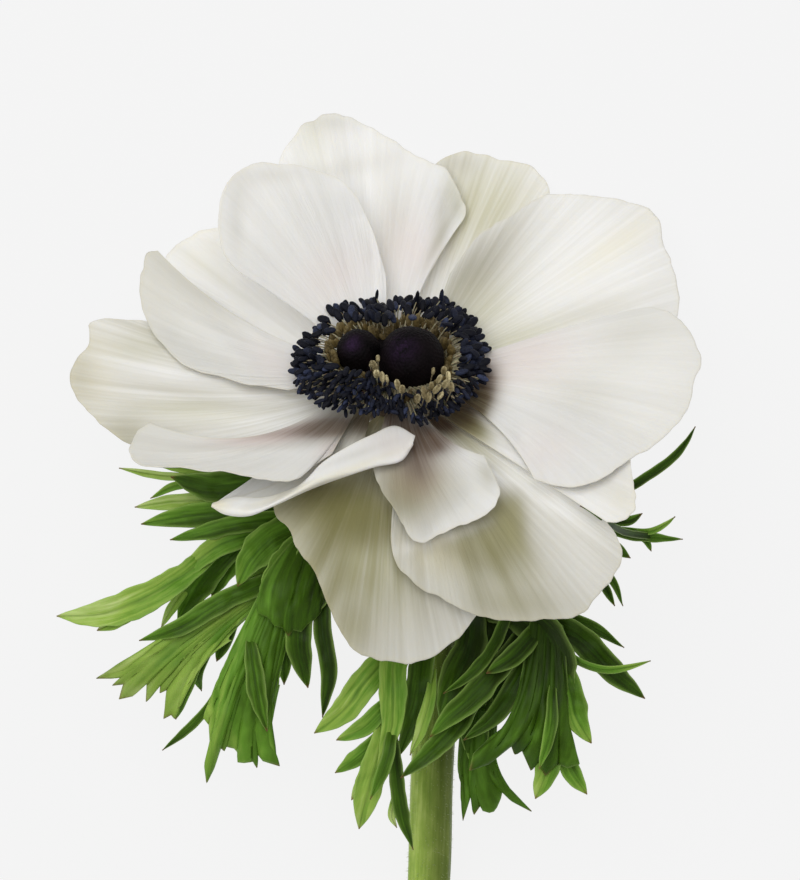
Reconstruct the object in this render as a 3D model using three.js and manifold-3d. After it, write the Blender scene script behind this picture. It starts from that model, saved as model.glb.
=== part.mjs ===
// A cut anemone lying on its side: fourteen tepals in five storeys, stamens, a double pistil,
// a collar of three cut bracts and the stem. Millimetres, +Z up; the stem lies along -Y.
import * as THREE from 'three';
import { mergeVertices } from 'three/addons/utils/BufferGeometryUtils.js';
import Module from 'manifold-3d';

const wasm = await Module();
wasm.setup();

// Outlines are [x, y] in millimetres from the bloom's middle as seen from straight above, at this
// height over it. Heights z are from the bloom's middle too. place() turns them into true places.
const seenFrom = 900;
const bloomMiddle = { x: 2.7, y: 67.3, z: 25.0 }; // where the bloom's middle stands in the part's frame

// The flower's own axis leans back 52 degrees from straight up.
const lean = THREE.MathUtils.degToRad(52);
const axisUp = Math.cos(lean);
const axisBack = Math.sin(lean);
const steepness = axisBack / axisUp;

const tepalThickness = 0.64;
const bractThickness = 0.64;
const storeyHeight = 1.17; // from one storey of tepals to the next, along the flower's axis
const rimReach = 45; // from the middle to a usual tepal tip, as seen
const flatReach = 8; // the tepals leave the receptacle square to the axis as far as this

const receptacleWidth = 6.6; // half widths of the swollen stem end where the tepals sit
const receptacleDepth = 5.4;
const clawGap = 0.3;
const clawSpread = 17; // half the angle that a tepal's foot takes round the receptacle, degrees

const stemRadius = 3.4;
const seatGap = 0.3;
const surfaceSize = 600; // of the block that stands for the surface the flower lies on

// A true place from one seen from above.
function place(x, y, z) {
  const nearer = (seenFrom - z) / seenFrom;
  return new THREE.Vector3(x * nearer + bloomMiddle.x, y * nearer + bloomMiddle.y, z + bloomMiddle.z);
}

// A true place from the flower's own frame: across, forward towards the back edge, and up its axis.
function onFlower(across, back, up) {
  return new THREE.Vector3(
    across + bloomMiddle.x,
    back * axisUp + up * axisBack + bloomMiddle.y,
    -back * axisBack + up * axisUp + bloomMiddle.z,
  );
}

// A smooth curve through points given as [x, y] or [x, y, z].
function smoothThrough(points) {
  const route = points.map(([x, y, z = 0]) => new THREE.Vector3(x, y, z));
  return new THREE.CatmullRomCurve3(route, false, 'centripetal');
}

// A closed solid from rings of points along a body. The first half of each ring is one face and
// the second half the other, so both faces of a thin blade split along the same diagonals.
function lofted(rings) {
  const size = rings[0].length;
  const half = size / 2;
  const vertices = rings.flat().flatMap((point) => [point.x, point.y, point.z]);
  const triangles = [];
  const quad = (a, b, c, d, flip) => {
    if (flip) triangles.push(a, b, d, b, c, d);
    else triangles.push(a, b, c, a, c, d);
  };
  for (let row = 0; row < rings.length - 1; row += 1) {
    for (let i = 0; i < size; i += 1) {
      const next = (i + 1) % size;
      const low = row * size;
      const high = low + size;
      quad(low + i, low + next, high + next, high + i, i >= half);
    }
  }
  const last = (rings.length - 1) * size;
  for (let i = 0; i < half - 1; i += 1) {
    const back = size - 1 - i;
    quad(i, back, back - 1, i + 1, false);
    quad(last + i, last + i + 1, last + back - 1, last + back, false);
  }
  let body = toManifold(vertices, triangles);
  if (body === null) {
    for (let i = 0; i < triangles.length; i += 3) {
      [triangles[i + 1], triangles[i + 2]] = [triangles[i + 2], triangles[i + 1]];
    }
    body = toManifold(vertices, triangles);
  }
  return body;
}

// The solid of a triangle list, or null where its faces point inwards.
function toManifold(vertices, triangles) {
  const geometry = new THREE.BufferGeometry();
  geometry.setAttribute('position', new THREE.Float32BufferAttribute(vertices, 3));
  geometry.setIndex(triangles);
  const merged = mergeVertices(geometry, 1e-4);
  const position = merged.attributes.position;
  const [a, b, c] = [new THREE.Vector3(), new THREE.Vector3(), new THREE.Vector3()];
  const kept = [];
  let volume = 0;
  for (let i = 0; i < merged.index.count; i += 3) {
    const corner = [merged.index.getX(i), merged.index.getX(i + 1), merged.index.getX(i + 2)];
    if (corner[0] === corner[1] || corner[1] === corner[2] || corner[0] === corner[2]) continue;
    a.fromBufferAttribute(position, corner[0]);
    b.fromBufferAttribute(position, corner[1]);
    c.fromBufferAttribute(position, corner[2]);
    volume += a.dot(b.cross(c)) / 6;
    kept.push(...corner);
  }
  if (volume < 0) return null;
  return new wasm.Manifold(new wasm.Mesh({
    numProp: 3,
    vertProperties: new Float32Array(position.array),
    triVerts: new Uint32Array(kept),
  }));
}

// One solid from several that overlap.
function joined(bodies) {
  return wasm.Manifold.union(bodies);
}

// What stays of a body above the surface that the flower lies on.
function aboveSurface(body) {
  const block = new THREE.BoxGeometry(surfaceSize, surfaceSize, surfaceSize);
  block.translate(0, 0, -surfaceSize / 2);
  block.deleteAttribute('normal');
  block.deleteAttribute('uv');
  const surface = mergeVertices(block);
  const corners = Array.from(surface.attributes.position.array);
  return body.subtract(toManifold(corners, Array.from(surface.index.array)));
}

const flower = new THREE.Group();

// Puts a solid into the flower as a named mesh.
function addPiece(name, body, material) {
  const mesh = body.getMesh();
  const geometry = new THREE.BufferGeometry();
  geometry.setAttribute('position', new THREE.BufferAttribute(mesh.vertProperties, 3));
  geometry.setIndex(new THREE.BufferAttribute(mesh.triVerts, 1));
  geometry.computeVertexNormals();
  const piece = new THREE.Mesh(geometry, material);
  piece.name = name;
  flower.add(piece);
}

const finish = (color, roughness) => new THREE.MeshStandardMaterial({ color, roughness, metalness: 0 });
const petalWhite = finish('#e9e7e2', 0.6);
const leafGreen = finish('#4d7a28', 0.6);
const stemGreen = finish('#8ba553', 0.65);
const antherNavy = finish('#23263d', 0.7);
const pistilPurple = finish('#1b1420', 0.75);

// Tepals

// Height of the bloom's open bowl under a seen point: flat across the receptacle, then a cubic
// to the rim, whose height turns from high in front to low at the back.
function bowlHeight(x, y) {
  const distance = Math.hypot(x, y);
  if (distance < flatReach) return -steepness * y;
  const span = rimReach - flatReach;
  const u = (distance - flatReach) / span;
  const sine = y / distance;
  const cosine = x / distance;
  const startSlope = -steepness * sine;
  const rimHeight = 4 - 24 * sine + 3 * (cosine * cosine - sine * sine);
  const rimSlope = -0.3 * Math.max(sine, 0);
  return flatReach * startSlope * (1 - 3 * u ** 2 + 2 * u ** 3)
    + span * startSlope * (u - 2 * u ** 2 + u ** 3)
    + rimHeight * (3 * u ** 2 - 2 * u ** 3)
    + span * rimSlope * (u ** 3 - u ** 2);
}

// claw: where the foot sits round the receptacle, degrees; storey: 0 is the lowest.
// bow: how far the two straight sides swell, mm. rim: clockwise, [x, y, lift off the bowl].
const tepals = {
  tepal_01: { // right, on top
    claw: 343, storey: 4, bow: [0.6, -2.2],
    rim: [[39.5, 13.9, -4], [42.2, 13.8, -2.5], [45.3, 12, -1], [48.3, 7.7, 0], [48.8, 4.2, 1],
      [47.5, 0.5, 1], [45.7, -3.8, 1.5], [40.5, -8.7, 2], [36, -11.4, 2.5], [31.5, -14, 2],
      [27, -14.6, 1.5], [22.3, -13.3, 0.5]],
  },
  tepal_02: { // upper right
    claw: 38, storey: 2, bow: [0, 0],
    rim: [[9, 19.2, 0], [13.4, 25.2, -1], [17.9, 27.8, -2], [23.5, 31.5, -4], [28, 32, -6],
      [35, 31.2, -9], [40, 29.9, -11], [42.3, 27.5, -11.5], [43.6, 22.5, -11], [45.4, 15.7, -10],
      [44, 10, -8], [35, 6, -6], [24, 4.3, -3]],
  },
  tepal_03: { // back right, lowest storey
    claw: 67, storey: 0, bow: [0, 0],
    rim: [[0.5, 21, -2], [2, 29, -3], [5, 35, -4.5], [8.7, 37.8, -5], [11.7, 38.6, -5], [17, 37.3, -5.5],
      [20.8, 36.7, -6], [23.3, 35, -6.5], [25, 31.8, -6.5], [23.5, 26.5, -6], [18, 19, -4]],
  },
  tepal_04: { // back
    claw: 100, storey: 2, bow: [0, -1.4],
    rim: [[-17, 31, -3.5], [-18.2, 36.5, -4.5], [-16, 40.8, -5], [-13, 43.4, -5.5], [-9, 44.6, -5.5],
      [-5.9, 43.6, -5.5], [-2.2, 41.7, -5], [2.7, 38.5, -5], [8.4, 35.9, -5], [11.4, 30.8, -4],
      [11.2, 28.4, -3]],
  },
  tepal_05: { // back left, on top
    claw: 127, storey: 4, bow: [-0.5, 0.6],
    rim: [[-24, 19.3, 1], [-26.4, 21.8, 1.5], [-27.6, 27, 1.5], [-26.6, 33.3, 1], [-24.1, 35.7, 0.5],
      [-19.5, 36.9, 0], [-13.5, 36, 0], [-8.5, 34.2, 0], [-5.3, 30.6, 0], [-2.7, 24.6, 0], [-1.2, 19, 0]],
  },
  tepal_06: { // back left, lowest storey
    claw: 141, storey: 0, bow: [0, 0],
    rim: [[-24, 11, -6], [-32, 17, -11], [-35.8, 20.8, -13.5], [-34.6, 23.4, -15], [-31.5, 25.5, -15.5],
      [-28, 26.5, -15], [-22, 25, -11], [-14, 18, -5]],
  },
  tepal_07: { // left, over the one below it
    claw: 162, storey: 3, bow: [0, -2.8],
    rim: [[-16.5, 0.8, 0], [-23.1, 1.7, 0], [-31, 3.8, -2], [-34.8, 6.2, -3.5], [-38, 9.8, -4.5],
      [-39.7, 13.7, -5], [-40.3, 17.5, -5], [-39.5, 22.2, -5], [-37, 22.9, -5]],
  },
  tepal_08: { // far left
    claw: 178, storey: 1, bow: [0, 0],
    rim: [[-36, -8.5, -4], [-42.3, -7.8, -5], [-46.3, -4.7, -5], [-49.9, -0.9, -5], [-51.3, 2, -5],
      [-50.5, 5.3, -5], [-48.3, 8.2, -5], [-48.3, 11, -5.5], [-45.5, 12.1, -5.5], [-39, 11.7, -5],
      [-28, 9, -2]],
  },
  tepal_09: { // lower left, its front edge turned up
    claw: 208, storey: 2, bow: [0, -3.8],
    rim: [[-9.6, -9.2, 2], [-13, -11.6, 4.2], [-16, -13.6, 8], [-21.7, -13.2, 10.5], [-26.5, -12.1, 11],
      [-32.4, -11.7, 11], [-38, -11.4, 9], [-41, -10.5, 7], [-41.8, -8.5, 4.5], [-40.4, -5.7, 1],
      [-38.4, -4.2, 0]],
  },
  tepal_10: { // front right, small
    claw: 283, storey: 3, bow: [-1.8, 0],
    rim: [[14.8, -10, 0], [16.3, -12.5, 0], [16.9, -15.1, 0], [15.8, -18, 0], [12.7, -20, 0],
      [8, -21.9, 0], [5, -23.5, 0], [2.8, -22.7, 0], [1.3, -20, 0], [-2, -14.8, 0], [-3.4, -11, 0]],
  },
  tepal_11: { // front, lowest storey
    claw: 267, storey: 0, bow: [0, 0],
    rim: [[9.5, -18, -1], [13.5, -27, -2], [14, -32.5, -3], [12.2, -36.3, -3.5], [9, -39.7, -3.5],
      [4.6, -42.2, -3.5], [0, -42.5, -3.5], [-4.6, -41.4, -3.5], [-7.5, -38.9, -3], [-11.1, -31.4, -2],
      [-13.7, -26.2, -1], [-16.6, -21.2, 0], [-19, -18.3, 0], [-17.2, -14.2, 0]],
  },
  tepal_12: { // front right
    claw: 303, storey: 1, bow: [0, 0],
    rim: [[31, -17, 1], [34.3, -20.6, 1.5], [36.3, -24.7, 0], [35.2, -28.6, -1.5], [31.7, -32.9, -2.5],
      [28.4, -35.2, -3], [22.2, -35.8, -3], [15.3, -35.5, -2.5], [9.5, -33.4, -1.5], [4.9, -31.1, -1],
      [1, -27.5, 0], [-0.3, -23, 0], [0, -17, 0]],
  },
  tepal_13: { // lower right
    claw: 324, storey: 2, bow: [0, 0],
    rim: [[34, -4, 2], [37.6, -8.5, 3], [37.9, -12.3, 3.5], [38.5, -16.4, 4], [37, -19.6, 4],
      [34, -20.2, 3.5]],
  },
};

const tepalColumns = 17;
const tepalRows = 5;
const rowSpacing = 1.15; // over 1: rows lie closer together near the foot

// A thin shell on a grid of middle points, thickened along its normals.
function shell(grid, thickness) {
  const rows = grid.length;
  const columns = grid[0].length;
  const rings = grid.map((line, row) => {
    const normals = line.map((_, column) => {
      const along = grid[Math.min(row + 1, rows - 1)][column].clone().sub(grid[Math.max(row - 1, 0)][column]);
      const across = line[Math.min(column + 1, columns - 1)].clone().sub(line[Math.max(column - 1, 0)]);
      return along.cross(across).setLength(thickness / 2);
    });
    const upper = line.map((point, column) => point.clone().add(normals[column]));
    const lower = line.map((point, column) => point.clone().sub(normals[column]));
    return [...upper, ...lower.reverse()];
  });
  return lofted(rings);
}

// A tepal is a fan of lines from its foot on the receptacle to its rim, lying on the bowl.
function tepalGrid({ claw, storey, bow, rim }) {
  const outline = smoothThrough(rim);
  const rise = storey * storeyHeight;
  const rimPoints = outline.getSpacedPoints(tepalColumns - 1);
  const feet = rimPoints.map((_, column) => {
    const turn = THREE.MathUtils.degToRad(claw + clawSpread * (1 - 2 * column / (tepalColumns - 1)));
    const across = (receptacleWidth + clawGap) * Math.cos(turn);
    const back = (receptacleDepth + clawGap) * Math.sin(turn);
    return [across, back * axisUp + rise * axisBack];
  });
  const grid = [];
  for (let row = 0; row <= tepalRows; row += 1) {
    const reach = (row / tepalRows) ** rowSpacing;
    grid.push(rimPoints.map((tip, column) => {
      const side = column / (tepalColumns - 1);
      const swell = 4 * reach * (1 - reach) * (bow[0] * (1 - side) - bow[1] * side);
      const [footX, footY] = feet[column];
      const spanX = tip.x - footX;
      const spanY = tip.y - footY;
      const length = Math.hypot(spanX, spanY);
      const x = footX + reach * spanX - swell * spanY / length;
      const y = footY + reach * spanY + swell * spanX / length;
      return place(x, y, bowlHeight(x, y) + rise / axisUp + tip.z * reach ** 2);
    }));
  }
  return grid;
}

for (const [name, tepal] of Object.entries(tepals)) {
  addPiece(name, aboveSurface(shell(tepalGrid(tepal), tepalThickness)), petalWhite);
}

// The fourteenth tepal hangs in front on the left, and its lower side is folded up over itself.
// foldLine and freeEdge run side by side from the right end to the tip.
const foldedTepal = {
  claw: 225, storey: 1, bow: [0, 0],
  rim: [[-5.4, -10.4, 0.5], [-8.2, -11.8, 0.5], [-12.8, -13.6, 0.5], [-18, -16.1, 0.5],
    [-22.5, -17.9, 0.5], [-26.6, -17.8, 0.5], [-28.3, -17.3, 0.5], [-23.4, -15.9, 0.5], [-18.2, -14, 0.5],
    [-13, -11.4, 0.5]],
  foldLine: [[3, -8], [1.3, -10.3], [-2.9, -11.3], [-7.8, -12.9], [-13, -14.8], [-19.4, -17.7],
    [-23.1, -19.1], [-26.7, -18.8], [-28.8, -17.6]],
  freeEdge: [[3.5, -6.6], [0.3, -5], [-3.3, -6.4], [-7.2, -8.3], [-11.1, -10.8], [-14.5, -14.2],
    [-20.2, -16.3], [-25.1, -16.3], [-28.6, -17.3]],
  flapRise: [[0, 9.4], [0.5, 9.4], [0.62, 8], [0.8, 5.7], [1, 4.4]], // over the bowl, along the fold
  underRise: [[0, 7.4], [0.34, 7.4], [0.46, 2.4], [1, 2.4]],
  curl: 1.1,
};

// The value at a share of the way through steps of [share, value].
function alongSteps(steps, share) {
  const next = Math.max(1, steps.findIndex(([at]) => at >= share));
  const [from, low] = steps[next - 1];
  const [to, high] = steps[next];
  return THREE.MathUtils.lerp(low, high, (share - from) / (to - from));
}

// The side of the tepal that turns up at the fold line and lies back over the rest.
function foldedFlap({ foldLine, freeEdge, flapRise, underRise, curl }) {
  const stations = 16;
  const fold = smoothThrough(foldLine).getPoints(stations);
  const edge = smoothThrough(freeEdge).getPoints(stations);
  const curlTurns = [-90, -30, 30, 90];
  const grid = [];
  for (let station = 0; station <= stations; station += 1) {
    const share = station / stations;
    const inward = edge[station].clone().sub(fold[station]);
    const width = inward.length();
    inward.normalize();
    const radius = Math.min(curl, width / 3);
    const centre = fold[station].clone().addScaledVector(inward, radius);
    const under = alongSteps(underRise, share);
    const over = alongSteps(flapRise, share);
    const line = curlTurns.map((turn) => {
      const angle = THREE.MathUtils.degToRad(turn);
      const x = centre.x - inward.x * radius * Math.cos(angle);
      const y = centre.y - inward.y * radius * Math.cos(angle);
      const rise = (under + over) / 2 + (over - under) / 2 * Math.sin(angle);
      return place(x, y, bowlHeight(x, y) + rise);
    });
    for (const way of [0.5, 1]) {
      const x = THREE.MathUtils.lerp(centre.x, edge[station].x, way);
      const y = THREE.MathUtils.lerp(centre.y, edge[station].y, way);
      line.push(place(x, y, bowlHeight(x, y) + over));
    }
    grid.push(line);
  }
  return grid;
}

addPiece('tepal_14', joined([
  shell(tepalGrid(foldedTepal), tepalThickness),
  shell(foldedFlap(foldedTepal), tepalThickness),
]), petalWhite);

// Stem with the receptacle at its top

const stemRoute = [
  onFlower(0, 0, -6.0),
  ...[[2.6, -16.5, -11.2], [6.2, -27, -13.2], [7, -35, -13.4], [7, -48, -13.8], [6.4, -56, -14.3],
    [5.6, -77, -15.8], [3.8, -110, -18.6], [1.5, -143, -20.8],
    [0, -176, -21.7]].map((point) => place(...point)),
];
const stemSides = 12;
const stemSteps = 18;
const neck = { share: 0.12, radius: 2.5 }; // the stem thickens from here on its way down to the collar

// The points of a closed ring, from the turn of each.
function ringOf(sides, pointAt) {
  return Array.from({ length: sides }, (_, i) => pointAt(2 * Math.PI * (i + 0.5) / sides));
}

// A tube of changing radius along a curve.
function roundTube(route, steps, radiusAt, sides) {
  const frames = route.computeFrenetFrames(steps, false);
  return lofted(Array.from({ length: steps + 1 }, (_, step) => {
    const middle = route.getPointAt(step / steps);
    const radius = radiusAt(step / steps);
    return ringOf(sides, (turn) => middle.clone()
      .addScaledVector(frames.normals[step], radius * Math.cos(turn))
      .addScaledVector(frames.binormals[step], radius * Math.sin(turn)));
  }));
}

// [height up the axis, half width, half depth]
const receptacleProfile = [
  [-7.0, 2.6, 2.6], [-4.5, 3.6, 3.4], [-2.0, 6.2, 5.1], [-1.2, receptacleWidth, receptacleDepth],
  [5.4, receptacleWidth, receptacleDepth], [5.45, 5.5, 4.2], [7.0, 5.5, 4.2],
];

// The swollen top of the stem, which carries the tepals, the stamens and the pistil.
function receptacle() {
  const lift = 2 * Math.PI / 20;
  return lofted(receptacleProfile.map(([up, width, depth]) => ringOf(20, (turn) => (
    onFlower(width * Math.cos(turn + lift), depth * Math.sin(turn + lift), up)))));
}

const stemCurve = new THREE.CatmullRomCurve3(stemRoute, false, 'centripetal');

function stemRadiusAt(share) {
  return THREE.MathUtils.lerp(neck.radius, stemRadius, Math.min(share / neck.share, 1));
}

const stemTube = roundTube(stemCurve, stemSteps, stemRadiusAt, stemSides);
addPiece('stem', aboveSurface(joined([stemTube, receptacle()])), stemGreen);

// Stamens on a ring round the receptacle's top

const ring = { inner: [5.8, 4.5], outer: [8.7, 6.9], low: 5.8, high: 6.9 };
const stamenRows = [
  { count: 31, root: [8.1, 6.3], reach: [13.9, 14.1], up: 8.0 },
  { count: 21, root: [7.6, 6.0], reach: [11.3, 11.1], up: 9.2 },
  { count: 8, root: [7.3, 5.7], reach: [9.0, 8.4], up: 10.2 },
];
const filamentRadius = 0.36;
const anther = { length: 2.8, width: 1.7, depth: 1.1, girth: [0.5, 1, 0.5], sunk: 0.2 }; // on its filament

// A fixed run of numbers from 0 to 1 that looks random.
function shuffled(seed) {
  let state = seed;
  return () => {
    state = (state * 16807) % 2147483647;
    return state / 2147483647;
  };
}

// The ring of tissue that the stamens stand on.
function stamenRing() {
  const { inner, outer, low, high } = ring;
  const corners = [[outer, low], [outer, high], [inner, high], [inner, low]];
  const sides = 24;
  const rows = corners.map(([[width, depth], up]) => ringOf(sides, (turn) => (
    onFlower(width * Math.cos(turn), depth * Math.sin(turn), up))));
  const vertices = rows.flat().flatMap((point) => [point.x, point.y, point.z]);
  const triangles = [];
  for (let row = 0; row < rows.length; row += 1) {
    const next = (row + 1) % rows.length;
    for (let i = 0; i < sides; i += 1) {
      const j = (i + 1) % sides;
      triangles.push(row * sides + i, row * sides + j, next * sides + j);
      triangles.push(row * sides + i, next * sides + j, next * sides + i);
    }
  }
  return toManifold(vertices, triangles) ?? toManifold(vertices, triangles.reverse());
}

// A filament with its anther, from the ring outwards.
function stamen(turn, row, random) {
  const spread = 0.9 + 0.16 * random();
  const up = row.up + 1.0 * (random() - 0.5);
  const tipTurn = turn + 0.1 * (random() - 0.5);
  const onRing = (share, height) => onFlower(
    (row.root[0] + share * (row.reach[0] * spread - row.root[0])) * Math.cos(tipTurn),
    (row.root[1] + share * (row.reach[1] * spread - row.root[1])) * Math.sin(tipTurn),
    height,
  );
  const root = onRing(0, ring.high - 0.6);
  const knee = onRing(0.55, up - 0.4);
  const tip = onRing(1, up);
  const filament = roundTube(new THREE.LineCurve3(root, tip), 1, () => filamentRadius, 3);
  const long = tip.clone().sub(knee).normalize();
  const side = onFlower(-Math.sin(tipTurn), Math.cos(tipTurn), 0).sub(onFlower(0, 0, 0));
  const top = side.clone().cross(long).normalize();
  const head = lofted(anther.girth.map((share, step) => {
    const along = step / (anther.girth.length - 1) - anther.sunk;
    const middle = tip.clone().addScaledVector(long, anther.length * along);
    return ringOf(4, (around) => middle.clone()
      .addScaledVector(side, anther.width / Math.SQRT2 * share * Math.cos(around))
      .addScaledVector(top, anther.depth / Math.SQRT2 * share * Math.sin(around)));
  }));
  return [filament, head];
}

const random = shuffled(41);
const stamenBodies = [stamenRing()];
for (const row of stamenRows) {
  const start = random();
  for (let i = 0; i < row.count; i += 1) {
    const turn = 2 * Math.PI * (i + start + 0.5 * random()) / row.count;
    stamenBodies.push(...stamen(turn, row, random));
  }
}

// Pistil: two packed domes on one foot, their carpels raised as fine bumps

const pistilDomes = [
  { across: 2.7, back: -1.0, up: 8.8, radius: 5.1, bumps: 9 },
  { across: -5.3, back: 1.2, up: 8.8, radius: 3.5, bumps: 7 },
];

// A dome of carpels.
function dome({ across, back, up, radius, bumps }) {
  const sides = 20;
  const levels = 8;
  const rings = [];
  for (let level = 0; level <= levels; level += 1) {
    const tilt = Math.PI * (0.03 + 0.94 * level / levels);
    rings.push(ringOf(sides, (turn) => {
      const bump = 1 + 0.05 * Math.sin(bumps * turn) * Math.sin(tilt) ** 2 * Math.cos(2 * bumps * tilt);
      const girth = radius * bump * Math.sin(tilt);
      const rise = radius * bump * Math.cos(tilt);
      return onFlower(across + girth * Math.cos(turn), back + girth * Math.sin(turn), up - rise);
    }));
  }
  return lofted(rings);
}

const pistilFoot = lofted([7.3, 8.4].map((up) => ringOf(16, (turn) => (
  onFlower(5.5 * Math.cos(turn), 4.2 * Math.sin(turn), up)))));
const belowPistil = lofted([-2, 7.3].map((up) => ringOf(16, (turn) => (
  onFlower(12 * Math.cos(turn), 12 * Math.sin(turn), up)))));
const pistil = joined([pistilFoot, ...pistilDomes.map(dome)]).subtract(belowPistil);
const roomForPistil = joined(pistilDomes.map(({ across, back, up, radius }) => (
  dome({ across, back, up, radius: radius + 2 * seatGap, bumps: 0 }))));

// The part of a body that holds together with its largest piece.
function largest(body) {
  return body.decompose().sort((a, b) => b.volume() - a.volume())[0];
}

addPiece('stamens', largest(joined(stamenBodies).subtract(roomForPistil)), antherNavy);
addPiece('pistil', pistil, pistilPurple);

// Bracts: each lobe is [width, root width as a share of it, [x, y, z], ...] along its midrib

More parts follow.
